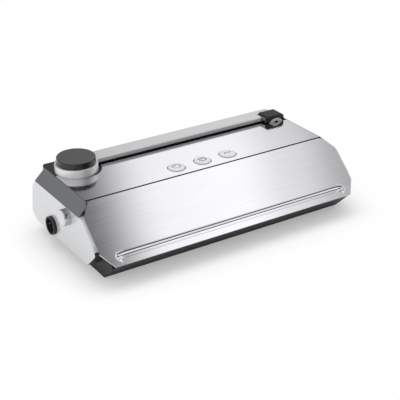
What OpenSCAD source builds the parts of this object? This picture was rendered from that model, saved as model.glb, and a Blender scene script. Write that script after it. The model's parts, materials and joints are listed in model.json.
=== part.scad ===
// Countertop vacuum sealer: a wedge-shaped machine with a sloping steel lid over an
// inclined sealing deck, a locking lever along the back of its top and closed end caps.
// X runs along the length, Y to the rear, Z up. The underside of the feet is z = 0, and
// the origin is in the middle of the machine's footprint, over everything it reaches.

/* [Body] */
// Length over both end caps
body_len = 400; // [390:1:420]
// Depth from the lid's front corner to the rear wall
body_depth = 203; // [200:1:212]
// Height of the top plate's upper face
plate_z = 90; // [88:0.5:94]
// Height of the lid's lower front corner
lip_z = 30.5; // [29:0.5:32]
// Slope of the lid and of the deck under it
lid_angle = 41; // [39:0.5:43]
// Wall of the plastic housings
wall = 2.5; // [2:0.1:3]
// Width of the visible seams between covers
seam = 0.6; // [0.4:0.1:0.8]
// Depth of each end cap along X
cap_depth = 15.5; // [14:0.5:17]
// Wall of the end caps
cap_wall = 2.6; // [2:0.1:3]
// Height of the end caps' lower edge
cap_z = 17; // [15:0.5:18]
// Drop of the chamfer between the top plate and an end cap
chamfer_h = 15; // [13:0.5:16]
// Thickness of the chamfer trims, measured upright
trim_t = 3.2; // [2.5:0.1:3.8]
// How far caps and trims lie below the lid's outer face
cap_drop = 2.4; // [2.3:0.1:3]
// Radius of the housing's rear corners, seen from above
rear_r = 12; // [10:1:14]
// Rise of the base's front face in degrees from the floor
base_angle = 45; // [43:1:48]
// Distance of the base's front lower edge behind the lid's front corner
base_setback = 30.5; // [29:0.5:32]
// Height at which the base tray meets the upper housing
split_z = 30; // [29:0.5:31]

/* [Feet and screws] */
// Height of the rubber feet below the tray
foot_h = 1.5; // [1:0.1:2]
// Radius of a foot
foot_r = 9; // [7:0.5:10]
// Depth of the recess that a foot is glued in
foot_recess = 0.8; // [0.5:0.1:1.2]
// Radius of a housing screw
screw_r = 1.5; // [1.25:0.05:1.6]
// Radius of a housing screw's head
screw_head_r = 3; // [2.6:0.1:3.3]
// Radius of the screw posts
post_r = 4.5; // [4.2:0.1:5]

/* [Lid] */
// Thickness of the steel skin
skin_t = 1.2; // [1:0.1:1.4]
// Depth of the skin's folded edge, its own thickness included
fold_h = 2; // [1.6:0.1:2.1]
// Radius of the rolled upper edge that the lid turns on
barrel_r = 3.5; // [3.2:0.1:3.8]
// Gap between the lid's sides and the outer faces of the end caps
side_gap = 3.4; // [3.2:0.1:4]
// Half length of the lid's lower edge, in from the end cap's outer face
corner_in = 17; // [15:0.5:19]
// Length of the lower corner cuts, measured up the slope
corner_up = 21; // [19:0.5:23]
// Radius of the long groove's round bottom
groove_r = 4; // [3.6:0.1:4.4]
// Depth of the long groove
groove_d = 2.4; // [2:0.1:2.8]
// Place of the groove's centre line, up the slope from the lower edge
groove_u = 12; // [11:0.5:12.5]
// Distance from the groove's end to the lid's lower corner
groove_end = 6.5; // [5:0.5:9]
// Thickness of the inner frame
frame_t = 3.8; // [3.4:0.1:4]

/* [Hinge pins] */
// Radius of the lid's two hinge pins
hinge_pin_r = 1.5; // [1.2:0.1:1.8]
// Length of a hinge pin
hinge_pin_len = 24; // [18:1:30]
// Width of a hinge bracket along X
bracket_w = 3.6; // [3:0.1:4.5]

/* [Sealing deck] */
// Distance from the lid's outer face down to the deck
deck_drop = 9; // [8.8:0.1:9.6]
// Thickness of the deck
deck_t = 2.5; // [2.3:0.1:3]
// Length of the sealing bar
seal_len = 312; // [300:1:320]
// Width of the sealing bar
seal_w = 11.6; // [10:0.1:12]
// Width of the heating strip
heater_w = 3; // [2:0.5:5]
// Thickness of the heating strip and of the tape over it
film_t = 0.3; // [0.2:0.05:0.35]
// Length of the vacuum channel
channel_len = 298; // [280:1:304]
// Width of the vacuum channel, up the slope
channel_w = 27; // [25:0.5:28]
// Depth of the drip tray
tray_h = 9.5; // [8.5:0.5:11]
// Wall of the drip tray
tray_wall = 1.5; // [1.2:0.1:2]
// Place of the channel's centre line, up the slope
channel_u = 46; // [45:0.5:47]
// Width of the rubber gaskets
gasket_w = 7; // [6:0.1:7.5]
// Distance from the channel to the gaskets
gasket_in = 1.6; // [1.5:0.1:3]
// Width of the silicone strip in the lid
strip_w = 9; // [8:0.1:10]

/* [Lever] */
// Width of the lever bar
bar_w = 23.5; // [22:0.5:25]
// Height of the lever bar
bar_h = 6.5; // [6:0.1:7]
// Sheet thickness of the lever bar
bar_t = 1.5; // [1.2:0.1:1.8]
// Width of the dark channel in front of the bar
bar_front_gap = 5; // [4:0.5:6]
// Height of the bar's lower edge over the top plate
bar_lift = 1.5; // [1.3:0.1:2.2]
// Distance from the rear wall to the bar's back
bar_back = 18; // [17:0.5:20]
// Distance from the body's right side to the pivot
pivot_in = 19; // [18.5:0.5:20]
// Height of the pivot, measured down from the top plate
pivot_drop = 1.5; // [1:0.5:2.5]
// Radius of the pivot pin
pivot_r = 2.5; // [2:0.1:3]
// Radius of the round edge of the steel cover over the pivot
disc_r = 14; // [13:0.5:14.5]
// Distance from the pivot down to the middle of the cover's round edge
disc_drop = 6.7; // [6:0.1:7]
// Radius of the hole in the cover, round the pivot
disc_hole_r = 3.5; // [3:0.1:4]
// Length of the moulded lever block
block_len = 30; // [28:0.5:30.5]
// Width of the moulded lever block
block_w = 21.5; // [20.5:0.5:22.5]
// Height of the moulded lever block
block_h = 9.2; // [8.6:0.1:9.6]

/* [Knob] */
// Radius of the knob's metal ring
ring_r = 28.8; // [27:0.2:29.5]
// Top of the ring over the top plate
ring_top = 10.8; // [10:0.2:12]
// Radius of the knob's dark cap
cap_r = 25.8; // [24:0.2:26.5]
// Height of the knob's dark cap
cap_h = 9.2; // [8:0.2:11]
// Distance from the left end cap's outer face to the knob's centre
knob_in = 48; // [47:0.5:52]
// Distance from the rear wall to the knob's centre
knob_back = 43; // [42:0.5:44]
// Mean gap between the ring and the round recess that it stands in
recess_gap = 2.9; // [2.6:0.1:3.2]
// Depth of the round recess
recess_d = 2; // [1.5:0.1:2.5]

/* [Buttons] */
// Radius of a push button
button_r = 12; // [10:0.5:12.5]
// Distance between the buttons
button_pitch = 40.5; // [32:0.5:46]
// Distance from the middle button to the middle of the body
button_x = 1.5; // [-10:0.5:10]
// Distance from the buttons' centre line to the plate's front edge
button_y = 21; // [19:0.5:24]
// Height of a button over the top plate
button_h = 2.4; // [1.6:0.1:3]
// Travel of a button
button_travel = 1; // [0.6:0.1:1.2]

/* [Connections] */
// Radius of the mains inlet's round boss
inlet_r = 12.5; // [11.5:0.1:12.8]
// Distance of the inlet's centre from the rear wall
inlet_back = 63; // [60:0.5:66]
// Height of the inlet's centre over the end cap's lower edge
inlet_up = 14; // [13.5:0.1:16]
// How far the inlet's boss stands out of the end cap
inlet_out = 4.5; // [3:0.5:6]
// Depth of the inlet's socket
inlet_depth = 13; // [11:0.5:14]
// Radius of the vacuum port's plug
plug_r = 11; // [9:0.5:12]
// How far the plug stands out of the end cap
plug_h = 9; // [7:0.5:10]
// Distance of the port's centre from the rear wall
port_back = 109; // [107:0.5:112]
// Height of the port's centre below the top plate
port_down = 26.5; // [26:0.5:29]
// Distance from the end cap's outer face to the inner end of the port's tube
port_tail = 40; // [38:1:44]

/* [Control board] */
// Thickness of the control board
board_t = 1.6; // [1.2:0.1:2]
// How far the board reaches beyond the outer buttons
board_margin = 31; // [28:1:36]
// Width of the board, front to rear
board_w = 40.5; // [38:0.5:42]
// Distance from the board up to the flange of a button
board_drop = 5.6; // [5:0.1:6]
// Height of a push switch
switch_h = 1.2; // [1:0.1:1.4]
// Radius of a button's coil spring
spring_r = 4; // [3.5:0.1:5]
// Radius of the spring's wire
spring_wire = 0.5; // [0.4:0.05:0.6]

/* [Transformer] */
// Distance of the transformer's middle to the left of the body's middle
coil_in = 80; // [75:1:90]
// Distance from the rear wall to the transformer's middle
coil_back = 53.5; // [50:0.5:56]
// Length of the laminated core
core_len = 64; // [60:1:68]
// Depth of the laminated core, front to rear
core_deep = 30; // [26:1:34]
// Height of the laminated core
core_h = 46; // [42:1:50]
// Width of the core's outer legs and yokes
core_leg = 9; // [8:0.5:10]
// Thickness of the winding round the middle leg
winding_t = 17.4; // [15:0.2:17.4]

/* [Pump] */
// Distance from the body's middle to the pump head
pump_in = 22; // [18:1:26]
// Distance from the rear wall to the motor's axis
pump_back = 43.5; // [42:0.5:46]
// Height of the motor's axis over the tray's floor
pump_up = 24; // [23:0.5:25]
// Length of the pump head along X
head_len = 32; // [30:1:34]
// Width of the pump head, front to rear
head_w = 32; // [30:1:34]
// Height of the pump head over the motor's axis
head_up = 22; // [20:0.5:24]
// Length of the motor
motor_len = 58; // [50:1:62]
// Radius of the motor
motor_r = 19; // [17:0.5:20]
// Radius of the motor's shaft
shaft_r = 2.5; // [2:0.1:3]
// Radius of the eccentric
eccentric_r = 9; // [8:0.5:9.5]
// Throw of the eccentric
eccentric_throw = 2; // [1:0.5:2.5]
// Outer radius of the hoses
hose_r = 4.2; // [3.8:0.1:4.5]
// Outer radius of the nozzles that the hoses are pushed on
nozzle_r = 3; // [2.6:0.1:3.2]
// Bore radius of the suction nozzle
nozzle_bore_r = 1.8; // [1.4:0.1:2]
// Length of a nozzle inside a hose
hose_grip = 8; // [7:0.5:9]

/* [Clearances] */
// Radial clearance of a pin or shaft that turns
run_gap = 0.05; // [0.03:0.01:0.08]
// Clearance between a moving piece and its seat
rest_gap = 0.3; // [0.2:0.05:0.35]
// Clearance round a piece that slides or drops in
slide_gap = 0.4; // [0.3:0.05:0.5]
// Clearance round a fixed piece in its pocket
fit_gap = 0.1; // [0.05:0.05:0.15]

/* [Hidden] */
$fn = 48;

// Driving heights and lengths of the body
half_len = body_len / 2;
body_x = half_len - cap_depth;          // outer face of the housings' sides
front_y = -body_depth / 2;
rear_y = body_depth / 2;
top_y = front_y + (plate_z - lip_z) / tan(lid_angle);
lid_len = (plate_z - lip_z) / sin(lid_angle);
cap_top_z = plate_z - chamfer_h;

// The rolled upper edge and the hinge axis in its middle
hinge_y = top_y + barrel_r * tan(lid_angle / 2);
hinge_z = plate_z - barrel_r;
plate_t = 1;
lip_y = hinge_y + barrel_r + seam;      // front face of the housing's upper lip
plate_front = hinge_y + sqrt(pow(barrel_r, 2) - pow(barrel_r - plate_t, 2)) + 1.2;
deck_top_z = plate_z - plate_t;         // what the steel plate lies on

// Points of the side view, u up the slope from the lid's lower corner and w outwards
function slope_pt(u, w) = [front_y + u * cos(lid_angle) - w * sin(lid_angle),
    lip_z + u * sin(lid_angle) + w * cos(lid_angle)];
function slope_u(z, w) = (z - lip_z - w * cos(lid_angle)) / sin(lid_angle);
function slope_at_z(z, w) = slope_pt(slope_u(z, w), w);
function slope_u_at_y(y, w) = (y - front_y + w * sin(lid_angle)) / cos(lid_angle);
base_front = front_y + base_setback;
function nose_u(w) = (base_front - front_y + w * sin(lid_angle)
    - (lip_z + w * cos(lid_angle) - foot_h) / tan(base_angle))
    / (cos(lid_angle) + sin(lid_angle) / tan(base_angle));
under_w = -deck_drop - deck_t;          // underside of the deck

// A side-view outline pulled in by d on every side
function edge_shift(a, b, d) = let(v = b - a) [-v[1], v[0]] / norm(v) * d;
function meet(p, r, q, s) = let(k = ((q - p)[0] * s[1] - (q - p)[1] * s[0])
    / (r[0] * s[1] - r[1] * s[0])) p + k * r;
function inset(pts, d) = let(n = len(pts)) [for (i = [0 : n - 1])
    let(a = pts[(i + n - 1) % n], b = pts[i], c = pts[(i + 1) % n])
    meet(a + edge_shift(a, b, d), b - a, b + edge_shift(b, c, d), c - b)];

// An outline with its corners rounded to r[i]
function corner(a, b, c, r, n = 5) = let(u = (a - b) / norm(a - b), v = (c - b) / norm(c - b),
    h = acos(u * v) / 2, t = r / tan(h), m = b + (u + v) / norm(u + v) * r / sin(h),
    p = b + u * t - m, q = b + v * t - m, turn = atan2(p[0] * q[1] - p[1] * q[0], p * q))
    [for (i = [0 : n]) let(g = turn * i / n)
        m + [p[0] * cos(g) - p[1] * sin(g), p[0] * sin(g) + p[1] * cos(g)]];
function rounded(pts, r) = let(n = len(pts)) [for (i = [0 : n - 1])
    for (q = r[i] == 0 ? [pts[i]] : corner(pts[(i + n - 1) % n], pts[i], pts[(i + 1) % n], r[i]))
        q];

// Moves a piece from the body's middle to the origin under the middle of all it reaches
module placed() translate([plug_h / 2, 0, 0]) children();
module on_slope() translate([0, front_y, lip_z]) rotate([lid_angle, 0, 0]) children();
// A box from one corner to the opposite one
module span(a, b) translate(a) cube(b - a);
// A side-view outline (y, z) made a solid between two places along x
module along_x(x0, x1, pts) translate([x0, 0, 0]) rotate([90, 0, 90])
    linear_extrude(x1 - x0) polygon(pts);
// A front-view outline (x, z) made a solid between two places along y
module along_y(y0, y1, pts) translate([0, y1, 0]) rotate([90, 0, 0])
    linear_extrude(y1 - y0) polygon(pts);
module rod_x(x0, x1, y, z, r) translate([x0, y, z]) rotate([0, 90, 0]) cylinder(r = r, h = x1 - x0);
module rod_y(y0, y1, x, z, r) translate([x, y0, z]) rotate([-90, 0, 0]) cylinder(r = r, h = y1 - y0);
module rod_z(z0, z1, x, y, r) translate([x, y, z0]) cylinder(r = r, h = z1 - z0);
// A flat rectangle with round corners, and a ring of it
module pad(l, w, r, h) {
    translate([-l / 2 + r, -w / 2, 0]) cube([l - 2 * r, w, h]);
    translate([-l / 2, -w / 2 + r, 0]) cube([l, w - 2 * r, h]);
    for (x = [-1, 1], y = [-1, 1])
        translate([x * (l / 2 - r), y * (w / 2 - r), 0]) cylinder(r = r, h = h);
}
module pad_ring(l, w, r, band, h) difference() {
    pad(l, w, r, h);
    translate([0, 0, -1]) pad(l - 2 * band, w - 2 * band, r - band, h + 2);
}

// A round tube swept along points; ref is a direction that the path never takes
function unit(v) = v / norm(v);
function sweep_ring(path, i, r, sides, ref) = let(n = len(path),
    d = unit(path[min(i + 1, n - 1)] - path[max(i - 1, 0)]),
    a = unit(cross(d, ref)), b = cross(a, d))
    [for (k = [0 : sides - 1]) let(g = 360 * k / sides) path[i] + r * (cos(g) * a + sin(g) * b)];
module sweep(path, r, sides, ref) {
    n = len(path);
    rings = [for (i = [0 : n - 1]) for (p = sweep_ring(path, i, r, sides, ref)) p];
    skin = [for (i = [0 : n - 2]) for (k = [0 : sides - 1]) let(m = (k + 1) % sides)
        [i * sides + k, i * sides + m, (i + 1) * sides + m, (i + 1) * sides + k]];
    first = [for (k = [sides - 1 : -1 : 0]) k];
    last = [for (k = [0 : sides - 1]) (n - 1) * sides + k];
    polyhedron(rings, concat([first], skin, [last]));
}
// Points between hand-set ones, on one smooth curve
function smooth(p, steps) = let(n = len(p)) concat([for (i = [0 : n - 2]) for (s = [0 : steps - 1])
    let(t = s / steps, a = p[max(i - 1, 0)], b = p[i], c = p[i + 1], d = p[min(i + 2, n - 1)])
    0.5 * (2 * b + (c - a) * t + (2 * a - 5 * b + 4 * c - d) * t * t
        + (3 * b - a - 3 * c + d) * t * t * t)], [p[n - 1]]);

// Lid outline and the features that follow it, in x and u
lid_half = half_len - side_gap;
lid_corner = half_len - corner_in;
top_corner_u = lid_len - (lid_half - body_x) * (chamfer_h / cap_depth) / sin(lid_angle);
lid_outline = [[-lid_corner, 0], [lid_corner, 0], [lid_half, corner_up], [lid_half, top_corner_u],
    [body_x - seam, lid_len - barrel_r * tan(lid_angle / 2)],
    [-body_x + seam, lid_len - barrel_r * tan(lid_angle / 2)],
    [-lid_half, top_corner_u], [-lid_half, corner_up]];
groove_half = lid_corner - groove_end - groove_r;
groove_w0 = groove_r - groove_d;        // the groove's centre, out from the skin
frame_half = lid_corner - 7;
frame_u0 = 3;
frame_u1 = lid_len - 11;

// Heights on the slope, each w measured outwards from the lid's outer face
frame_w = -skin_t - frame_t;
strip_half = seal_w / 2;
tape_top_w = -deck_drop + 1.3;
bar_top_w = tape_top_w - 2 * film_t;
bar_seat_w = -deck_drop - 1.4;
ring_l = channel_len + 2 * (gasket_in + gasket_w);
ring_w = channel_w + 2 * (gasket_in + gasket_w);
ring_corner = 9;
gasket_seat_w = -deck_drop - 1.2;
gasket_top_w = tape_top_w + 0.5;

// Lever and its channel
bar_y1 = rear_y - bar_back;
bar_y0 = bar_y1 - bar_w;
bar_z0 = plate_z + bar_lift;
bar_z1 = bar_z0 + bar_h;
channel_y0 = bar_y0 - bar_front_gap;
channel_y1 = bar_y1 + 2.5;
channel_z = plate_z - 4;
ledge_z = plate_z - 0.5;
pivot_x = body_x - pivot_in;
pivot_z = plate_z - pivot_drop;
block_x1 = pivot_x + 14.2;
block_x0 = block_x1 - block_len;
block_y1 = bar_y1 - 12;
block_y0 = block_y1 - block_w;
block_z0 = plate_z + 1;
block_z1 = block_z0 + block_h;
block_wall = 2.2;
disc_t = 1.2;
well_x0 = pivot_x - disc_r - 2.5;
well_x1 = body_x - 2;
well_y0 = block_y0 - disc_t - 0.8;
well_z0 = pivot_z - norm([disc_r, disc_drop]) - 7;
ear_t = 3;
ear_r = 5;
ear_ys = [block_y0 + 5, block_y1 - 9.5];
bracket_x0 = pivot_x - 10;
bracket_x1 = pivot_x + 8;
core_y0 = bar_y0 + bar_t + 0.5;
core_y1 = block_y1 - block_wall - 0.3;
core_z0 = bar_z0 + 0.5;
core_t = 3.5;

// Knob
knob_x = -half_len + knob_in;
knob_y = rear_y - knob_back;
recess_r = ring_r + recess_gap;
recess_x = knob_x + recess_gap - seam;
recess_y = knob_y + recess_gap / 2;
recess_z = plate_z - recess_d;
ring_z0 = recess_z + rest_gap;
ring_z1 = plate_z + ring_top;
stud_r = 3;
stud_head_r = 4.2;
stud_hole_r = 6;
clip_z = plate_z - 12;
core_x0 = knob_x - 20;
knob_screw_xs = [knob_x - 13, knob_x + 13];
knob_screw_y = (core_y0 + core_y1) / 2;

// Buttons
button_y0 = plate_front + button_y;
button_xs = [for (i = [-1 : 1]) button_x + i * button_pitch];
button_flange_r = button_r + 1.5;
button_z0 = deck_top_z - wall - 2.6;
plunger_r = 2.5;
plunger_len = board_drop - switch_h - button_travel - slide_gap;
board_z1 = button_z0 - board_drop;
board_x0 = button_xs[0] - board_margin;
board_x1 = button_xs[2] + board_margin;
board_y0 = lip_y + wall + 1;
board_y1 = board_y0 + board_w;

// Connections in the left end cap
inlet_y = rear_y - inlet_back;
inlet_z = cap_z + inlet_up;
port_y = rear_y - port_back;
port_z = plate_z - port_down;
port_r = 5;
port_bore_r = 2;

// Pump and transformer, on the tray's floor
floor_z = foot_h + wall;
pump_y = rear_y - pump_back;
pump_z = floor_z + pump_up;
motor_x0 = pump_in + head_len;
coil_x = -coil_in;
coil_y = rear_y - coil_back;
nozzle_x = -0.2 * channel_len;

// Side-view outlines
base_outline = [[base_front, foot_h], [rear_y - 15.5, foot_h], [rear_y - 11, cap_z],
    [rear_y, cap_z + 8], [rear_y, split_z], slope_at_z(split_z, under_w),
    slope_pt(nose_u(under_w), under_w)];
far = body_len + body_depth;
base_hollow = [[base_front, foot_h], [rear_y - 15.5, foot_h], [rear_y - 11, cap_z],
    [rear_y, cap_z + 8], [rear_y, far],
    [base_front - (far - foot_h) / tan(base_angle), far]];
housing_outline = [slope_at_z(split_z, under_w), [rear_y, split_z], [rear_y, ledge_z - 2.5],
    [rear_y - 2.5, ledge_z], [lip_y, ledge_z], slope_pt(slope_u_at_y(lip_y, under_w), under_w)];
cap_outline = [slope_at_z(cap_top_z, -cap_drop), slope_pt(34, -cap_drop), slope_pt(22, -cap_drop - 4.4),
    [front_y + 44.5, cap_z], [rear_y - 11, cap_z], [rear_y - 0.3, cap_z + 8],
    [rear_y - 5.8, plate_z - 25], [rear_y - 15, cap_top_z]];
cap_round = [0, 12, 4, 3, 7, 7, 8, 3];

// Everything of the body between its sides, with the rear corners rounded
module footprint(in) {
    hx = body_x - in;
    r = rear_r - in;
    span([-hx, -far, -1], [hx, rear_y - rear_r, far]);
    span([-hx + r, -far, -1], [hx - r, rear_y - in, far]);
    for (s = [-1, 1]) rod_z(-1, far, s * (hx - r), rear_y - rear_r, r);
}
// The space outside the slope, from w outwards
module beyond_slope(w) on_slope() translate([-far, -far, w]) cube([2 * far, 2.5 * far, far]);
// Places of the four housing screws
post_x = body_x - wall - post_r - 1.5;
rear_post_y = rear_y - rear_r - 6;
front_post_y = front_y + 47;
module screw_posts() for (s = [-1, 1]) {
    translate([s * post_x, rear_post_y, 0]) children();
    translate([s * post_x, front_post_y, 0]) children();
}

// Lower casing: an open black tray that carries everything
module base_tray() color("#26262a") placed() difference() {
    union() {
        difference() {
            intersection() {
                along_x(-body_x, body_x, base_outline);
                footprint(0);
            }
            intersection() {
                along_x(-body_x + wall, body_x - wall, inset(base_hollow, wall));
                footprint(wall);
            }
        }
        screw_posts() rod_z(floor_z - 0.5, split_z, 0, 0, post_r);
    }
    screw_posts() {
        rod_z(0, split_z + 1, 0, 0, screw_r + fit_gap);
        rod_z(0, floor_z + 1.5, 0, 0, screw_head_r + fit_gap);
    }
    for (p = foot_places) rod_z(0, foot_h + foot_recess, p[0], p[1], foot_r + fit_gap);
    side_holes();
}
// Holes in the body's left side for the mains inlet and the vacuum port
module side_holes() {
    rod_x(-far, -body_x + wall + 1, inlet_y, inlet_z, inlet_r);
    rod_x(-far, -body_x + wall + 1, port_y, port_z, nozzle_r + slide_gap);
}
foot_places = [for (x = [-1, 1], y = [base_front + 16, rear_y - 32]) [x * (body_x - 34), y]];
module feet() color("#1b1b1c") placed() for (p = foot_places)
    rod_z(0, foot_h + foot_recess, p[0], p[1], foot_r);
module base_screws() color("#9a9a98") placed() screw_posts() {
    rod_z(floor_z - 0.5, floor_z + 1.5, 0, 0, screw_head_r);
    rod_z(floor_z + 1.5, split_z + 12, 0, 0, screw_r);
}

// Upper housing: rear wall, sides, the shelf under the steel plate and the lever's channel
module upper_housing() color("#232326") placed() difference() {
    union() {
        difference() {
            intersection() {
                along_x(-body_x, body_x, housing_outline);
                footprint(0);
            }
            intersection() {
                along_x(-body_x + 2, body_x - 2, housing_hollow);
                footprint(2);
            }
        }
        intersection() {
            union() {
                span([-body_x, channel_y0 - wall, channel_z - wall],
                    [body_x, channel_y1 + wall, channel_z]);
                span([-body_x, channel_y1, channel_z - wall], [body_x, channel_y1 + wall, ledge_z]);
                span([-body_x, channel_y0 - wall, channel_z - wall], [body_x, channel_y0, deck_top_z]);
                rod_z(recess_z - wall, deck_top_z, recess_x, recess_y, recess_r + wall);
                span([well_x0 - 2, well_y0 - 2, well_z0 - 2], [body_x, channel_y1 + 2, ledge_z]);
            }
            footprint(0);
        }
        rod_z(clip_z + 2, recess_z - 1, knob_x, knob_y, stud_hole_r + 4);
        for (s = [-1, 1]) rod_z(split_z, deck_top_z - 1, s * post_x, rear_post_y, post_r);
        for (p = board_post_places) rod_z(board_z1, deck_top_z - 1, p[0], p[1], 3);
    }
    span([-far, lip_y - 1, deck_top_z], [far, channel_y0, far]);
    span([recess_x + recess_r - 2, channel_y0, channel_z], [body_x - 2, channel_y1, far]);
    rod_z(recess_z, far, recess_x, recess_y, recess_r);
    span([well_x0, well_y0, well_z0], [well_x1, channel_y1, far]);
    rod_z(0, far, knob_x, knob_y, stud_hole_r);
    for (x = button_xs) rod_z(deck_top_z - 5, far, x, button_y0, button_r + slide_gap);
    for (s = [-1, 1]) rod_z(0, split_z + 14, s * post_x, rear_post_y, screw_r + fit_gap);
    hinge_slots();
    side_holes();
}
housing_hollow = [[lip_y + 2.5, deck_top_z - wall], [rear_y - wall, deck_top_z - wall],
    [rear_y - wall, 0], slope_at_z(0, under_w + 0.5),
    slope_pt(slope_u_at_y(lip_y, under_w + 0.5), under_w + 0.5),
    [lip_y + 2.5, slope_pt(slope_u_at_y(lip_y, under_w + 0.5), under_w + 0.5)[1]]];
board_post_places = [for (x = [board_x0 + 6, board_x1 - 6], y = [board_y0 + 5, board_y1 - 5]) [x, y]];

// Steel plate on top, cut out for the knob, the lever block and the buttons
module top_plate() color("#dcdcdc") placed() difference() {
    span([-body_x + seam, plate_front, deck_top_z], [body_x - seam, channel_y0, plate_z]);
    rod_z(0, far, recess_x, recess_y, recess_r);
    span([well_x0, well_y0, 0], [far, far, far]);
    for (x = button_xs) rod_z(0, far, x, button_y0, button_r + slide_gap);
}

// Sloping deck that the bag lies on
module working_deck() color("#2b2b2e") placed() difference() {
    union() {
        difference() {
            on_slope() translate([-body_x, -5, under_w]) cube([2 * body_x, deck_end_u + 5, deck_t]);
            along_x(-far, far, [[base_front, foot_h], [base_front - far / tan(base_angle), foot_h + far],
                [front_y - far, foot_h + far], [front_y - far, foot_h - far], [base_front, foot_h - far]]);
        }
        difference() {
            for (s = [-1, 1]) rod_z(split_z, plate_z, s * post_x, front_post_y, post_r);
            beyond_slope(under_w + 0.5);
        }
    }
    on_slope() {
        translate([0, groove_u, bar_seat_w]) pad(seal_len + 2 * fit_gap, seal_w + 2 * fit_gap, 1.2, 5);
        translate([0, channel_u, -deck_drop - 10]) pad(channel_len, channel_w, 4, 20);
        translate([0, channel_u, gasket_seat_w])
            pad_ring(ring_l + 2 * fit_gap, ring_w + 2 * fit_gap, ring_corner, gasket_w + 2 * fit_gap, 5);
    }
    for (s = [-1, 1]) rod_z(0, split_z + 14, s * post_x, front_post_y, screw_r + fit_gap);
}
deck_end_u = lid_len - 6.5;

// End caps: closed silver covers over the body's ends
module end_cap(side) {
    x0 = side > 0 ? body_x : -half_len;
    hollow0 = side > 0 ? body_x - 1 : -half_len + cap_wall;
    difference() {
        along_x(x0, x0 + cap_depth, rounded(cap_outline, cap_round));
        along_x(hollow0, hollow0 + cap_depth - cap_wall + 1, inset(cap_outline, cap_wall));
        if (side < 0) {
            rod_x(-half_len - 1, -body_x + 1, inlet_y, inlet_z, inlet_r);
            rod_x(-half_len - 1, -half_len + cap_wall + 1, port_y, port_z, port_r + slide_gap);
        }
    }
}
module end_cap_left() color("#d9d9da") placed() end_cap(-1);
module end_cap_right() color("#d9d9da") placed() end_cap(1);

// Chamfer trims: dark metal strips between the top plate and the end caps
module chamfer_trim(side) difference() {
    along_y(top_y - 5, rear_y - 14.5, [for (p = [[body_x, plate_z], [half_len, cap_top_z],
        [half_len - trim_t, cap_top_z], [body_x, plate_z - trim_t]]) [side * p[0], p[1]]]);
    beyond_slope(-cap_drop);
}
module chamfer_trim_left() color("#6c6c6e") placed() chamfer_trim(-1);
module chamfer_trim_right() color("#6c6c6e") placed() chamfer_trim(1);

// Sealing bar with its heater and the tape over it
module sealing_bar() color("#3a3a3a") placed() on_slope() translate([0, groove_u, bar_seat_w])
    pad(seal_len, seal_w, 1.1, bar_top_w - bar_seat_w);
module heating_strip() color("#b08d57") placed() on_slope()
    translate([-seal_len / 2, groove_u - heater_w / 2, bar_top_w]) cube([seal_len, heater_w, film_t]);
module ptfe_tape() color("#c7b48c") placed() on_slope()
    translate([-seal_len / 2, groove_u - seal_w / 2 + 0.5, bar_top_w + film_t])
    cube([seal_len, seal_w - 1, film_t]);

// Drip tray hung in the vacuum channel, and the nozzle through its floor
tray_l = channel_len - 2 * fit_gap;
tray_w = channel_w - 2 * fit_gap;
tray_r = 3.9;
module at_tray() on_slope() translate([0, channel_u, -deck_drop - tray_h]) children();
module drip_tray() color("#6f7275") placed() at_tray() difference() {
    pad(tray_l, tray_w, tray_r, tray_h);
    translate([0, 0, tray_wall])
        pad(tray_l - 2 * tray_wall, tray_w - 2 * tray_wall, tray_r - tray_wall, tray_h);
    translate([nozzle_x, 0, -1]) cylinder(r = nozzle_r + fit_gap, h = tray_h);
}
nozzle_flange_t = 1.5;
module suction_nozzle() color("#8a8d90") placed() at_tray() translate([nozzle_x, 0, 0]) difference() {
    union() {
        translate([0, 0, -hose_grip - 1]) cylinder(r = nozzle_r, h = hose_grip + tray_wall + 4);
        translate([0, 0, -nozzle_flange_t]) cylinder(r = nozzle_r + 2, h = nozzle_flange_t);
    }
    translate([0, 0, -hose_grip - 2]) cylinder(r = nozzle_bore_r, h = 3 * hose_grip);
}
module lower_gasket() color("#3d3d3f") placed() on_slope() translate([0, channel_u, gasket_seat_w])
    pad_ring(ring_l, ring_w, ring_corner, gasket_w, gasket_top_w - gasket_seat_w);

// Hinge of the lid: a bracket at each end holds a pin in the rolled edge
module hinge_slots() for (s = [-1, 1]) scale([s, 1, 1])
    span([body_x - seam - bracket_w - rest_gap, lip_y - 1, hinge_z - 8],
        [body_x - 2, lip_y + 5, deck_top_z + 1]);
module hinge_brackets() color("#b4b4b4") placed() for (s = [-1, 1]) scale([s, 1, 1]) difference() {
    union() {
        rod_x(body_x - seam - bracket_w, body_x - seam, hinge_y, hinge_z, barrel_r - 0.2);
        span([body_x - seam - bracket_w, hinge_y, hinge_z - barrel_r + 0.2],
            [body_x - seam, lip_y, hinge_z + 1]);
        span([body_x - seam - bracket_w, lip_y, hinge_z - 7.9], [body_x - 2, lip_y + 4.9, deck_top_z]);
    }
    rod_x(0, far, hinge_y, hinge_z, hinge_pin_r + run_gap);
    span([body_x - 2, lip_y, 0], [far, lip_y + 9, far]);
}
module hinge_pins() color("#b9b9b6") placed() for (s = [-1, 1]) scale([s, 1, 1])
    rod_x(body_x - seam - hinge_pin_len, body_x - seam, hinge_y, hinge_z, hinge_pin_r);

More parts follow.
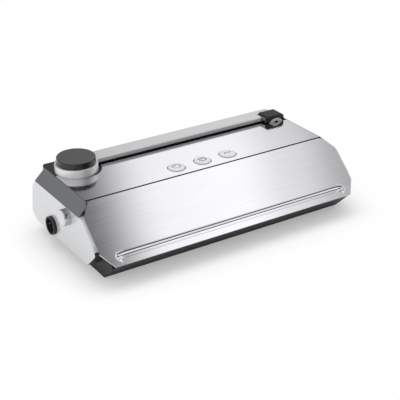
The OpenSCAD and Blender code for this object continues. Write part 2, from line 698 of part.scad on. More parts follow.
// Lid: steel skin with a pressed groove, folded sides and a rolled upper edge
barrel_half = body_x - seam - bracket_w - rest_gap;
module groove_form(r, reach) on_slope() translate([0, groove_u, groove_w0]) {
    rotate([0, 90, 0]) translate([0, 0, -reach]) cylinder(r = r, h = 2 * reach);
    for (s = [-1, 1]) translate([s * reach, 0, 0]) sphere(r = r);
}
module lid_skin() color("#c8c8ca") placed() difference() {
    union() {
        difference() {
            on_slope() translate([0, 0, -fold_h]) linear_extrude(fold_h) polygon(lid_outline);
            on_slope() translate([0, 0, -fold_h - 1]) linear_extrude(fold_h - skin_t + 1)
                polygon(inset(lid_outline, skin_t));
        }
        difference() {
            groove_form(groove_r + 0.9, groove_half);
            beyond_slope(-skin_t / 2);
        }
        rod_x(-barrel_half, barrel_half, hinge_y, hinge_z, barrel_r);
    }
    groove_form(groove_r, groove_half);
    rod_x(-far, far, hinge_y, hinge_z, hinge_pin_r + run_gap);
    for (s = [-1, 1]) scale([s, 1, 1])
        span([barrel_half, hinge_y - barrel_r - rest_gap, hinge_z - 9], [far, far, far]);
}
module lid_frame() color("#202022") placed() difference() {
    on_slope() translate([-frame_half, frame_u0, frame_w])
        cube([2 * frame_half, frame_u1 - frame_u0, frame_t]);
    on_slope() {
        translate([-frame_half - 1, groove_u - groove_r - 1.2, groove_w0 - groove_r - 1.1])
            cube([2 * frame_half + 2, 2 * groove_r + 2.4, 9]);
        translate([0, channel_u, frame_w - 1])
            pad(channel_len - 4, channel_w - 4, 5, frame_t - 0.4);
        for (p = lid_screw_places) translate([p[0], p[1], frame_w - 1]) {
            cylinder(r = screw_r + fit_gap, h = frame_t + 2);
            cylinder(r = screw_head_r - 0.3 + fit_gap, h = 2.6);
        }
    }
}
lid_screw_places = [for (x = [-1, 0, 1], u = [channel_u - ring_w / 2 - 3.6, channel_u + ring_w / 2 + 4.5])
    [x * (frame_half - 8), u]];
module upper_gasket() color("#3d3d3f") placed() on_slope()
    translate([0, channel_u, gasket_top_w + rest_gap])
    pad_ring(ring_l, ring_w, ring_corner, gasket_w, frame_w - gasket_top_w - rest_gap);
module pressure_strip() color("#8c2f24") placed() on_slope()
    translate([-seal_len / 2, groove_u - strip_w / 2, tape_top_w + rest_gap])
    cube([seal_len, strip_w, frame_w - tape_top_w - rest_gap]);
module lid_screws() color("#9a9a98") placed() on_slope() for (p = lid_screw_places)
    translate([p[0], p[1], 0]) {
    translate([0, 0, frame_w]) cylinder(r = screw_head_r - 0.3, h = 1.6);
    translate([0, 0, frame_w + 1.6]) cylinder(r = screw_r, h = frame_t - 1.6);
}

// Lever pivot: a steel bracket in the housing's well, with the pin that the lever turns on
module pivot_bracket() color("#a8a8a6") placed() difference() {
    union() {
        span([bracket_x0, ear_ys[0] - 2, well_z0], [bracket_x1, ear_ys[1] + ear_t + 2, well_z0 + 2]);
        for (y = ear_ys) {
            span([pivot_x - ear_r, y, well_z0], [pivot_x + ear_r, y + ear_t, pivot_z]);
            rod_y(y, y + ear_t, pivot_x, pivot_z, ear_r);
        }
    }
    rod_y(-far, far, pivot_x, pivot_z, pivot_r + run_gap);
}
module pivot_pin() color("#b9b9b6") placed()
    rod_y(block_y0 + 0.3, block_y1 - 0.2, pivot_x, pivot_z, pivot_r);
module latch_clip() color("#c9c9c6") placed() difference() {
    rod_z(clip_z, clip_z + 2, knob_x, knob_y, stud_hole_r + 3.5);
    rod_z(0, far, knob_x, knob_y, stud_head_r + 2 * slide_gap);
}

// Lever: an aluminium channel round a steel core, from the knob to the block at the pivot
wing_x1 = pivot_x + 2;
bar_end_x = block_x0 - 3;
module lever_bar() color("#c4c4c6") placed() difference() {
    union() {
        span([knob_x, bar_y0, bar_z0], [bar_end_x, bar_y1, bar_z1]);
        span([bar_end_x - 1, block_y1 + rest_gap, bar_z0], [wing_x1, bar_y1, bar_z1]);
        intersection() {
            rod_y(block_y1 + rest_gap, bar_y1, wing_x1, bar_z0, bar_h);
            span([wing_x1 - 1, bar_y0, bar_z0], [wing_x1 + bar_h, bar_y1, bar_z1]);
        }
    }
    span([-far, bar_y0 + bar_t, 0], [bar_end_x + 1, bar_y1 - bar_t, bar_z1 - bar_t]);
    rod_z(0, far, knob_x, knob_y, ring_r + fit_gap);
    translate([0, bar_y0, bar_z1 - 1.8]) rotate([45, 0, 0]) translate([-far, 0, 0]) cube([2 * far, 5, 5]);
}
module lever_core() color("#9c9c9a") placed() difference() {
    union() {
        span([core_x0, core_y0, core_z0], [pivot_x - 8, core_y1, core_z0 + core_t]);
        span([bar_end_x + rest_gap, block_y0 + 1, bar_z0 + 0.5],
            [block_x0 - rest_gap, block_y1 - 1, bar_z1 - 0.5]);
    }
    for (x = knob_screw_xs) rod_z(0, far, x, knob_screw_y, screw_r + fit_gap);
}
block_outline = rounded([[block_x0, block_z0], [block_x1, block_z0], [block_x1, block_z1],
    [block_x0, block_z1]], [0, 1.5, 5, 2.5]);
module lever_block() color("#1c1c1e") placed() difference() {
    union() {
        along_y(block_y0, block_y1, block_outline);
        rod_y(block_y0, block_y0 + block_wall, pivot_x, pivot_z, pivot_r + 3);
        rod_y(block_y1 - block_wall, block_y1, pivot_x, pivot_z, pivot_r + 3);
    }
    along_y(block_y0 + block_wall, block_y1 - block_wall, [[block_x0 + 3.5, 0],
        [block_x1 - block_wall, 0], [block_x1 - block_wall, block_z1 - 5],
        [block_x1 - 6, block_z1 - 2], [block_x0 + 3.5, block_z1 - 2]]);
    span([block_x0 - 1, core_y0 - fit_gap, core_z0 - fit_gap],
        [block_x0 + 5, core_y1 + fit_gap, core_z0 + core_t + fit_gap]);
    rod_y(-far, far, pivot_x, pivot_z, pivot_r + run_gap);
}
module pivot_disc() color("#d4d4d4") placed() difference() {
    rod_y(block_y0 - disc_t, block_y0, pivot_x, pivot_z - disc_drop, disc_r);
    rod_y(-far, far, pivot_x, pivot_z, disc_hole_r);
    span([-far, -far, 0], [far, far, pivot_z - disc_drop]);
}
module knob_ring() color("#d0d0d0") placed() difference() {
    translate([knob_x, knob_y, 0]) rotate_extrude($fn = 96) polygon([[0, ring_z0], [ring_r - 0.6, ring_z0],
        [ring_r, ring_z0 + 0.6], [ring_r, ring_z1 - 0.6], [ring_r - 0.6, ring_z1], [0, ring_z1]]);
    rod_z(ring_z1 - 3, far, knob_x, knob_y, 8);
    rod_z(0, ring_z1 - 4, knob_x, knob_y, stud_r + fit_gap);
    span([core_x0 - fit_gap, core_y0 - fit_gap, 0], [far, core_y1 + fit_gap, core_z0 + core_t + fit_gap]);
    for (x = knob_screw_xs) {
        rod_z(0, ring_z1 - 1.5, x, knob_screw_y, screw_r + fit_gap);
        rod_z(0, core_z0, x, knob_screw_y, screw_head_r - 0.4 + fit_gap);
    }
}
module knob_cap() color("#3a3a3c") placed() translate([knob_x, knob_y, 0]) rotate_extrude($fn = 96)
    polygon([[0, ring_z1 - 2.9], [8 - fit_gap, ring_z1 - 2.9], [8 - fit_gap, ring_z1], [cap_r, ring_z1],
        [cap_r, ring_z1 + cap_h - 1.2], [cap_r - 1.2, ring_z1 + cap_h - 0.2],
        [cap_r - 2.4, ring_z1 + cap_h], [0, ring_z1 + cap_h]]);
module knob_screws() color("#9a9a98") placed() for (x = knob_screw_xs) {
    rod_z(core_z0 - 1.8, core_z0, x, knob_screw_y, screw_head_r - 0.4);
    rod_z(core_z0, ring_z1 - 2, x, knob_screw_y, screw_r);
}
module latch_stud() color("#b9b9b6") placed() {
    rod_z(clip_z - 6, ring_z1 - 4.2, knob_x, knob_y, stud_r);
    rod_z(clip_z - 6, clip_z - 2, knob_x, knob_y, stud_head_r);
}

// Push buttons on coil springs, over the switches of the control board
module button(i) translate([button_xs[i], button_y0, 0]) rotate_extrude() polygon([
    [0, button_z0 - plunger_len], [plunger_r, button_z0 - plunger_len], [plunger_r, button_z0],
    [button_flange_r, button_z0],
    [button_flange_r, deck_top_z - wall - rest_gap], [button_r, deck_top_z - wall - rest_gap],
    [button_r, plate_z + button_h * 0.45], [button_r - 0.5, plate_z + button_h * 0.7],
    [button_r - 1.6, plate_z + button_h * 0.88], [button_r - 3.4, plate_z + button_h],
    [0, plate_z + button_h * 0.92]]);
module button_power() color("#dededf") placed() button(0);
module button_vacuum() color("#dededf") placed() button(1);
module button_seal() color("#dededf") placed() button(2);
spring_turns = 3;
spring_z0 = board_z1 + spring_wire;
spring_z1 = button_z0 - spring_wire;
module coil_spring(i) sweep([for (k = [0 : spring_turns * 12]) let(g = 30 * k)
    [button_xs[i] + spring_r * cos(g), button_y0 + spring_r * sin(g),
        spring_z0 + (spring_z1 - spring_z0) * k / (spring_turns * 12)]], spring_wire, 8, [0, 0, 1]);
module spring_power() color("#b9b9b6") placed() coil_spring(0);
module spring_vacuum() color("#b9b9b6") placed() coil_spring(1);
module spring_seal() color("#b9b9b6") placed() coil_spring(2);
module control_board() color("#2f6b3c") placed()
    span([board_x0, board_y0, board_z1 - board_t], [board_x1, board_y1, board_z1]);
module tact_switches() color("#3a3a3a") placed() for (x = button_xs)
    rod_z(board_z1, board_z1 + switch_h, x, button_y0, plunger_r);
// Relay, triac and chip under the board: place along it, length, width and height of each
board_blocks = [[15, 19, 16, 13], [50, 14, 10, 7], [110, 12, 12, 3]];
capacitor_xs = [78, 94];
capacitor_r = 5;
module board_parts() color("#44484c") placed() translate([board_x0, board_y1 - 5, board_z1 - board_t]) {
    for (b = board_blocks) translate([b[0], -b[2], -b[3]]) cube([b[1], b[2], b[3]]);
    for (x = capacitor_xs) rod_z(-14, 0, x, -capacitor_r - 2, capacitor_r);
}

// Transformer for the heater: an E-shaped core with the winding on its middle leg
mid_leg = core_len - 2 * core_leg - 2 * winding_t - 4 * fit_gap;
window = winding_t + 2 * fit_gap;
module transformer_core() color("#4b4b4d") placed() translate([coil_x, coil_y, floor_z]) difference() {
    translate([-core_len / 2, -core_deep / 2, 0]) cube([core_len, core_deep, core_h]);
    for (s = [-1, 1]) translate([s * (mid_leg + window) / 2 - window / 2, -core_deep, core_leg])
        cube([window, 2 * core_deep, core_h - 2 * core_leg]);
}
module transformer_coil() color("#9b5a2c") placed() translate([coil_x, coil_y, floor_z + core_leg + fit_gap])
    difference() {
        outer = [mid_leg + 2 * winding_t + 2 * fit_gap, core_deep + winding_t];
        inner = [mid_leg + 2 * fit_gap, core_deep + 2 * fit_gap];
        translate([-outer[0] / 2, -outer[1] / 2, 0])
            cube([outer[0], outer[1], core_h - 2 * core_leg - 2 * fit_gap]);
        translate([-inner[0] / 2, -inner[1] / 2, -1]) cube([inner[0], inner[1], core_h]);
    }

// Vacuum pump: motor, head and the eccentric on its shaft
bracket_foot = 3;
module pump_bracket() color("#7d7d7b") placed() difference() {
    span([motor_x0 + 8, pump_y - motor_r - 2, floor_z],
        [motor_x0 + motor_len - 8, pump_y + motor_r + 2, pump_z - bracket_foot]);
    rod_x(0, far, pump_y, pump_z, motor_r + fit_gap);
    span([motor_x0 + 14, 0, floor_z + bracket_foot], [motor_x0 + motor_len - 14, far, pump_z]);
}
module pump_motor() color("#8f8f90") placed() difference() {
    rod_x(motor_x0, motor_x0 + motor_len, pump_y, pump_z, motor_r);
    rod_x(0, far, pump_y, pump_z, shaft_r + run_gap);
}
head_wall = 4;
module pump_head() color("#303033") placed() difference() {
    union() {
        span([pump_in, pump_y - head_w / 2, floor_z], [motor_x0, pump_y + head_w / 2, barb_z]);
        for (s = [-1, 1]) rod_z(barb_z, barb_z + hose_grip, barb_x, pump_y + s * barb_half, nozzle_r);
    }
    rod_x(pump_in + head_wall, motor_x0 - head_wall, pump_y, pump_z, eccentric_r + eccentric_throw + 1);
    rod_x(0, far, pump_y, pump_z, shaft_r + run_gap);
}
module pump_shaft() color("#b9b9b6") placed()
    rod_x(pump_in + 1, motor_x0 + motor_len + head_wall, pump_y, pump_z, shaft_r);
module pump_eccentric() color("#a58a4a") placed() difference() {
    rod_x(pump_in + head_len / 2 - 5, pump_in + head_len / 2 + 5,
        pump_y + eccentric_throw, pump_z, eccentric_r);
    rod_x(0, far, pump_y, pump_z, shaft_r + 0.02);
}

// Hoses from the pump to the drip tray's nozzle and to the port
barb_half = head_w / 4;
barb_x = pump_in + 10;
barb_z = pump_z + head_up;
loop_r = 10;                            // of the bends above the pump head
nozzle_low = slope_pt(channel_u, -deck_drop - tray_h - nozzle_flange_t - 3 * rest_gap);
nozzle_dir = [0, sin(lid_angle), -cos(lid_angle)];
nozzle_pt = [nozzle_x, nozzle_low[0], nozzle_low[1]];
function between(a, b, t) = a + (b - a) * t;
function barb_pt(s, up) = [barb_x, pump_y + s * barb_half, barb_z + up];
channel_rise = barb_pt(-1, hose_grip) - [0, 2 * loop_r, 0];
channel_low = nozzle_pt + [14, 26, -20];
channel_path = smooth(concat([nozzle_pt, nozzle_pt + 12 * nozzle_dir, channel_low],
    [for (t = [0.35, 0.7]) between(channel_low, channel_rise - [0, 0, 12], t)],
    [channel_rise - [0, 1, 12], channel_rise, channel_rise + [0, loop_r, loop_r],
        barb_pt(-1, hose_grip), barb_pt(-1, 2 * rest_gap)]), 4);
port_start = [-half_len + port_tail - hose_grip, port_y, port_z];
port_turn = barb_pt(1, hose_grip + loop_r + 1) - [2 * loop_r, 2, 0];
port_path = smooth(concat([port_start, port_start + [13, 0, 0]],
    [for (t = [0.25, 0.5, 0.75]) between(port_start + [13, 0, 0], port_turn, t)],
    [port_turn, barb_pt(1, hose_grip + loop_r - 1) - [loop_r - 2, 0, 0],
        barb_pt(1, hose_grip), barb_pt(1, 2 * rest_gap)]), 4);
hose_bore = nozzle_r + fit_gap / 2;
module channel_hose() color("#c9ccd0") placed() difference() {
    sweep(channel_path, hose_r, 10, [1, -0.8, 0.3]);
    rod_z(barb_z, barb_z + hose_grip + fit_gap, barb_x, pump_y - barb_half, hose_bore);
    on_slope() translate([nozzle_x, channel_u, -deck_drop - tray_h - hose_grip - 4])
        cylinder(r = hose_bore, h = hose_grip + 4);
}
module port_hose() color("#c9ccd0") placed() difference() {
    sweep(port_path, hose_r, 10, [0, 1, 0]);
    rod_z(barb_z, barb_z + hose_grip + fit_gap, barb_x, pump_y + barb_half, hose_bore);
    rod_x(-far, -half_len + port_tail + fit_gap, port_y, port_z, hose_bore);
}

// Mains inlet: a round socket in the end cap with two pins, and the vacuum port above it
inlet_x0 = -half_len - inlet_out;
module mains_inlet() color("#161617") placed() difference() {
    rod_x(inlet_x0, inlet_x0 + inlet_depth + 5, inlet_y, inlet_z, inlet_r - fit_gap);
    rod_x(-far, inlet_x0 + inlet_depth, inlet_y, inlet_z, inlet_r - 2);
    for (s = [-1, 1]) rod_x(-far, far, inlet_y + s * 5, inlet_z, 1.2 + fit_gap);
}
module inlet_pins() color("#c9b27a") placed() for (s = [-1, 1])
    rod_x(inlet_x0 + 2.5, inlet_x0 + inlet_depth + 8, inlet_y + s * 5, inlet_z, 1.2);
module vacuum_port() color("#8a8d90") placed() difference() {
    union() {
        rod_x(-half_len - plug_h + 2.5, -half_len + cap_wall + 4, port_y, port_z, port_r);
        rod_x(-half_len + cap_wall, -half_len + cap_wall + 2.5, port_y, port_z, port_r + 3);
        rod_x(-half_len + cap_wall, -half_len + port_tail, port_y, port_z, nozzle_r);
    }
    rod_x(-far, 0, port_y, port_z, port_bore_r);
}
module port_plug() color("#d9d9da") placed() difference() {
    translate([-half_len, port_y, port_z]) rotate([0, -90, 0]) rotate_extrude()
        polygon([[0, rest_gap], [plug_r, rest_gap], [plug_r, plug_h - 2],
            [plug_r - 0.6, plug_h - 0.6], [plug_r - 2, plug_h], [0, plug_h]]);
    rod_x(-half_len - plug_h + 2, 0, port_y, port_z, port_r + run_gap);
}

base_tray();
feet();
base_screws();
upper_housing();
top_plate();
working_deck();
end_cap_left();
end_cap_right();
chamfer_trim_left();
chamfer_trim_right();
sealing_bar();
heating_strip();
ptfe_tape();
drip_tray();
suction_nozzle();
lower_gasket();
hinge_brackets();
hinge_pins();
lid_skin();
lid_frame();
upper_gasket();
pressure_strip();
lid_screws();
pivot_bracket();
pivot_pin();
latch_clip();
lever_bar();
lever_core();
lever_block();
pivot_disc();
knob_ring();
knob_cap();
knob_screws();
latch_stud();
button_power();
button_vacuum();
button_seal();
spring_power();
spring_vacuum();
spring_seal();
control_board();
board_parts();
tact_switches();
transformer_core();
transformer_coil();
pump_bracket();
pump_motor();
pump_head();
pump_shaft();
pump_eccentric();
channel_hose();
port_hose();
mains_inlet();
inlet_pins();
vacuum_port();
port_plug();
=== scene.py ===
# %% [markdown]
# # Dressing a countertop vacuum sealer
# The machine's solids come from its CAD model, one node for each part that would come off on a
# bench. This script adds what the solids lack: pressed and rolled sheet steel, broken edges,
# printed symbols, screws, and a finish for every surface. Nothing is moved or resized.

# %% Load the solids
import json
import math

import bmesh
import bpy
from mathutils import Matrix, Vector


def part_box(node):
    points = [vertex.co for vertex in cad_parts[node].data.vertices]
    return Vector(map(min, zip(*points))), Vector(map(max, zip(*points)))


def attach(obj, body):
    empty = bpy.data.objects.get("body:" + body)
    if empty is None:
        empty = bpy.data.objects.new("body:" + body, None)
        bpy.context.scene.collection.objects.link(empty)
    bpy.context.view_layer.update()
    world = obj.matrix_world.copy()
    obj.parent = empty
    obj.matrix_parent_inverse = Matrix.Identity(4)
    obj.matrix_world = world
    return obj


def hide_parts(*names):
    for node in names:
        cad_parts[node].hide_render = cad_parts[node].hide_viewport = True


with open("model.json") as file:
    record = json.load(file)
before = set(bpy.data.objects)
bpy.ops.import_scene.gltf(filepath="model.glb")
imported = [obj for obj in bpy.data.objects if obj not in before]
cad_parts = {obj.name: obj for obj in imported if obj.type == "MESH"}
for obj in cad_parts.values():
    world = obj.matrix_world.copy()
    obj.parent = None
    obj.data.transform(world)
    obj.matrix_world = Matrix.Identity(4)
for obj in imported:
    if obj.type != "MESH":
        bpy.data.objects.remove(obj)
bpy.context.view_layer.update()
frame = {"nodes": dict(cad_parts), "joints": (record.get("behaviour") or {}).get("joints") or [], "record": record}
NODES = frame["nodes"]
MM = 0.001                              # the scene counts in metres, the sizes below in millimetres
PER_METRE = 1000                        # millimetres
BODY_HALF = 0.2                         # half the body's length, the inlet left out
FACE_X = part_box("end_cap_left")[0].x + BODY_HALF  # middle of the body along X
print(f"{len(NODES)} nodes, body centred on x = {FACE_X / MM:.1f} mm")

# %% [markdown]
# ## Two small helpers
# Colours are written as sRGB hex values, as a paint shop gives them, and turned into the linear
# values that the renderer counts in. Every node is added by one function that takes its settings
# and what goes into its sockets: a value, another node's socket, or a node for its first output.

# %% Colour and node helpers
def linear(code):
    channels = [int(code[i:i + 2], 16) / 255 for i in (1, 3, 5)]
    return (*[c / 12.92 if c <= 0.04045 else ((c + 0.055) / 1.055) ** 2.4 for c in channels], 1.0)


def add(tree, kind, settings=None, inputs=None):
    """Adds a node. An input is a value, a socket, or a node that stands for its first output."""
    node = tree.nodes.new(kind)
    for key, value in (settings or {}).items():
        setattr(node, key, value)
    for key, value in (inputs or {}).items():
        source = value.outputs[0] if isinstance(value, bpy.types.Node) else value
        if isinstance(source, bpy.types.NodeSocket):
            tree.links.new(source, node.inputs[key])
        else:
            node.inputs[key].default_value = source
    return node


print("mid grey in linear light:", round(linear("#808080")[0], 3))

# %% [markdown]
# ## Camera
# The viewpoint is that of a product picture: in front, to the left and above, with a long lens
# so that the machine's edges stay nearly parallel.

# %% Camera
EYE = Vector((-0.68705, -1.07166, 0.66666))
YAW = math.radians(32.925)              # turned to the right of straight ahead
PITCH = math.radians(26.566)            # looking down
LENS_SHARE = 2.6168                     # focal length over the picture's width

camera_data = bpy.data.cameras.new("camera")
camera_data.sensor_width = 36
camera_data.lens = LENS_SHARE * camera_data.sensor_width
camera = bpy.data.objects.new("camera", camera_data)
camera.location = EYE
camera.rotation_euler = (math.pi / 2 - PITCH, 0, -YAW)
bpy.context.scene.collection.objects.link(camera)
bpy.context.scene.camera = camera
bpy.context.scene.view_settings.view_transform = "Standard"
print(f"lens {camera_data.lens:.1f} mm")

# %% [markdown]
# ## Light
# A wide soft lamp hangs over the machine and a weaker one fills from the front left. The world
# gives the rest. Metal shows what is around it, so the world has a second face that only mirrored
# rays see: a pale studio with one bright curtain to the right, which puts the broad light band
# across brushed steel, and another at the far right. This studio is dim near the horizon and at
# the front right, and that draws dark lines where the steel is bent. The camera itself sees
# plain white.

# %% Lamps
def soft_lamp(name, place, target, size, power):
    data = bpy.data.lights.new(name, "AREA")
    data.shape = "RECTANGLE"
    data.size, data.size_y = size
    data.energy = power
    lamp = bpy.data.objects.new(name, data)
    lamp.location = place
    lamp.rotation_euler = (Vector(target) - Vector(place)).to_track_quat("-Z", "Y").to_euler()
    lamp.visible_glossy = False
    bpy.context.scene.collection.objects.link(lamp)


soft_lamp("lamp_overhead", (0.1, 0.25, 1.5), (0, 0, 0), (1.5, 1.2), 8.5)
soft_lamp("lamp_front_left", (-1.3, -0.9, 1.0), (0, 0, 0.05), (1.0, 1.0), 5.0)
print("2 lamps")

# %% World
WORLD_LIGHT = 0.72                      # what the world gives to matt surfaces
# Brightness by the x of a direction
CURTAINS = [(-1.0, 0.80), (-0.30, 0.80), (0.05, 0.55), (0.385, 0.20), (0.455, 1.22),
            (0.52, 1.30), (0.565, 0.95), (0.61, 0.50), (1.0, 1.30)]
LOW = (0.15, 0.44, 0.10)                # down towards the horizon the room darkens to this share
FRONT = (-0.72, -0.42, 0.10)            # and so it does in front, on the side that
SIDE = (0.10, 0.30)                     # this x marks out

world = bpy.data.worlds.new("studio")
bpy.context.scene.world = world
world.use_nodes = True
world.cycles.sampling_method = "NONE"   # so that a mirror sees the pattern, not the plain light
tree = world.node_tree
tree.nodes.clear()
direction = add(tree, "ShaderNodeTexCoord").outputs["Generated"]
parts = add(tree, "ShaderNodeSeparateXYZ", inputs={0: direction}).outputs
sideways = add(tree, "ShaderNodeMapRange", inputs={"Value": parts["X"], "From Min": -1.0})
ramp = add(tree, "ShaderNodeValToRGB", inputs={0: sideways})
ramp.color_ramp.interpolation = "EASE"
stops = ramp.color_ramp.elements
stops.remove(stops[-1])
brightest = max(level for _, level in CURTAINS)
for number, (x, level) in enumerate(CURTAINS):
    stop = stops.new((x + 1) / 2) if number else stops[0]
    stop.color = (*[level / brightest] * 3, 1)
low = add(tree, "ShaderNodeMapRange", {"interpolation_type": "SMOOTHSTEP"}, {
    "Value": parts["Z"], "From Min": LOW[0], "From Max": LOW[1], "To Min": LOW[2]})
front = add(tree, "ShaderNodeMapRange", {"interpolation_type": "SMOOTHSTEP"}, {
    "Value": parts["Y"], "From Min": FRONT[0], "From Max": FRONT[1], "To Min": FRONT[2]})
side = add(tree, "ShaderNodeMapRange", {"interpolation_type": "SMOOTHSTEP"}, {
    "Value": parts["X"], "From Min": SIDE[0], "From Max": SIDE[1], "To Min": 1.0, "To Max": front})
shades = add(tree, "ShaderNodeMath", {"operation": "MULTIPLY"}, {0: side, 1: low})
dimmed = add(tree, "ShaderNodeMath", {"operation": "MULTIPLY"}, {0: ramp, 1: shades})
shine = add(tree, "ShaderNodeMath", {"operation": "MULTIPLY"}, {0: dimmed, 1: brightest})
white = linear("#ffffff")
plain_light = add(tree, "ShaderNodeBackground", inputs={"Color": white, "Strength": WORLD_LIGHT})
pattern = add(tree, "ShaderNodeBackground", inputs={"Color": white, "Strength": shine})
backdrop = add(tree, "ShaderNodeBackground", inputs={"Color": white, "Strength": 1.0})
rays = add(tree, "ShaderNodeLightPath").outputs
mirrored = add(tree, "ShaderNodeMath", {"operation": "MAXIMUM"}, {
    0: rays["Is Glossy Ray"], 1: rays["Is Transmission Ray"]})
lit = add(tree, "ShaderNodeMixShader", inputs={0: mirrored, 1: plain_light, 2: pattern})
seen = add(tree, "ShaderNodeMixShader", inputs={0: rays["Is Camera Ray"], 1: lit, 2: backdrop})
add(tree, "ShaderNodeOutputWorld", inputs={"Surface": seen})
print("world: light", WORLD_LIGHT, "curtain stops", len(CURTAINS))

# %% [markdown]
# ## Floor
# The floor is a plain white sheet. Near the machine it is matt and takes the soft shadow.
# Further out it fades, for the camera alone, into flat white, so no horizon shows.

# %% Floor
FLOOR_HALF = 5.0
FOOTPRINT = (BODY_HALF, 0.1)            # half the machine's length and depth
SHADOW_ENDS = (0.00, 0.10)              # the fade starts and ends this far from the machine
NEAR_WHITE = 0.30                       # this much of the flat white is there even at the machine

material = bpy.data.materials.new("white_paper_sheet")
material.use_nodes = True
tree = material.node_tree
tree.nodes.clear()
place = add(tree, "ShaderNodeTexCoord").outputs["Object"]
beside = add(tree, "ShaderNodeVectorMath", {"operation": "ABSOLUTE"}, {0: place})
beyond = add(tree, "ShaderNodeVectorMath", {"operation": "SUBTRACT"}, {
    0: beside, 1: (*FOOTPRINT, 0)})
outside = add(tree, "ShaderNodeVectorMath", {"operation": "MAXIMUM"}, {0: beyond, 1: (0, 0, 0)})
reach = add(tree, "ShaderNodeVectorMath", {"operation": "LENGTH"}, {0: outside})
fade = add(tree, "ShaderNodeMapRange", {"interpolation_type": "SMOOTHSTEP"}, {
    "Value": reach.outputs["Value"], "From Min": SHADOW_ENDS[0], "From Max": SHADOW_ENDS[1],
    "To Min": NEAR_WHITE})
camera_ray = add(tree, "ShaderNodeLightPath").outputs["Is Camera Ray"]
flat = add(tree, "ShaderNodeMath", {"operation": "MULTIPLY"}, {0: fade, 1: camera_ray})
matt = add(tree, "ShaderNodeBsdfDiffuse", inputs={"Color": linear("#fbfbfb")})
glow = add(tree, "ShaderNodeEmission", inputs={"Color": white, "Strength": 1.0})
both = add(tree, "ShaderNodeMixShader", inputs={0: flat, 1: matt, 2: glow})
add(tree, "ShaderNodeOutputMaterial", inputs={"Surface": both})

floor_mesh = bpy.data.meshes.new("floor")
corners = [(x * FLOOR_HALF, y * FLOOR_HALF, 0) for x, y in ((-1, -1), (1, -1), (1, 1), (-1, 1))]
floor_mesh.from_pydata(corners, [], [(0, 1, 2, 3)])
floor_mesh.materials.append(material)
floor = bpy.data.objects.new("floor", floor_mesh)
bpy.context.scene.collection.objects.link(floor)
print("floor", 2 * FLOOR_HALF, "m wide")

# %% [markdown]
# ## How a finish is built
# Patterns are laid out in real millimetres on Object coordinates. Each part's object sits at the
# origin, so the same pattern runs on from one part to the next and turns with its own part. A
# noise mostly lies between 0.25 and 0.75, and that range is what each finish spreads out.

# %% Material helpers
USUAL = {"From Min": 0.25, "From Max": 0.75}      # where a noise mostly lies


def start_material(name):
    made = bpy.data.materials.new(name)
    made.use_nodes = True
    made.node_tree.nodes.clear()
    return made, made.node_tree


def end_material(tree, dark, pale, shade, height, depth, strength, inputs):
    """Colour from dark to pale by shade, relief by height, and the surface's other inputs."""
    colour = add(tree, "ShaderNodeMix", {"data_type": "RGBA"}, {
        0: shade, 6: linear(dark), 7: linear(pale)})
    relief = add(tree, "ShaderNodeBump", inputs={
        "Height": height, "Distance": depth, "Strength": strength})
    surface = add(tree, "ShaderNodeBsdfPrincipled", inputs={
        "Base Color": colour.outputs[2], "Normal": relief, **inputs})
    add(tree, "ShaderNodeOutputMaterial", inputs={"Surface": surface})


print("a noise is spread from", USUAL)

# %% [markdown]
# ## Brushed stainless steel
# The lid and the top plate are stainless sheet, brushed with a grit belt along their length.
# The scratches are a few hundredths of a millimetre wide, too fine to show, so they are drawn
# as streaks about 0.7 mm wide and 50 mm long. They spread a reflection across themselves and
# keep it narrow along themselves, which is what the anisotropic setting does.

# %% Brushed metal
STREAKS = (0.02, 1.4, 1.4)              # of them in a millimetre along X, Y and Z
BROADER = 0.18                          # wide streaks are this share as many
ROUGHNESS_SWING = 0.02


def brushed_metal(name, dark, pale, roughness, anisotropic):
    made, tree = start_material(name)
    place = add(tree, "ShaderNodeTexCoord").outputs["Object"]
    in_streaks = add(tree, "ShaderNodeMapping", inputs={
        "Vector": place, "Scale": [PER_METRE * s for s in STREAKS]})
    in_bands = add(tree, "ShaderNodeMapping", inputs={
        "Vector": place, "Scale": [PER_METRE * (s * BROADER) for s in STREAKS]})
    fine = add(tree, "ShaderNodeTexNoise", inputs={
        "Vector": in_streaks, "Scale": 1.0, "Detail": 3.0, "Roughness": 0.6})
    broad = add(tree, "ShaderNodeTexNoise", inputs={
        "Vector": in_bands, "Scale": 1.0, "Detail": 1.0, "Roughness": 0.5})
    shade = add(tree, "ShaderNodeMapRange", inputs={"Value": fine, **USUAL})
    fine_swing = add(tree, "ShaderNodeMapRange", inputs={
        "Value": fine, **USUAL, "To Min": -ROUGHNESS_SWING, "To Max": ROUGHNESS_SWING})
    broad_swing = add(tree, "ShaderNodeMapRange", inputs={
        "Value": broad, **USUAL,
        "To Min": roughness - ROUGHNESS_SWING, "To Max": roughness + ROUGHNESS_SWING})
    uneven = add(tree, "ShaderNodeMath", {"operation": "ADD"}, {0: fine_swing, 1: broad_swing})
    brushed_along = add(tree, "ShaderNodeVectorTransform", {
        "vector_type": "VECTOR", "convert_from": "OBJECT", "convert_to": "WORLD"},
        {0: add(tree, "ShaderNodeCombineXYZ", inputs={"X": 1.0})})
    end_material(tree, dark, pale, shade, fine, 0.000002, 0.5, {
        "Metallic": 1.0, "Roughness": uneven, "Anisotropic": anisotropic,
        "Anisotropic Rotation": 0.25, "Tangent": brushed_along})
    return made


# Cold-rolled sheet, belt-brushed fine: it mirrors the room as one clear band of light
lid_steel = brushed_metal("stainless_steel_brushed_lid", "#dbdbdf", "#e6e6ea", 0.06, 0.2)
# The same sheet, brushed coarser: the band is broader and its ends are softer
plate_steel = brushed_metal("stainless_steel_brushed_plate", "#d9d9dd", "#e2e2e6", 0.10, 0.4)
print("2 brushed metals")

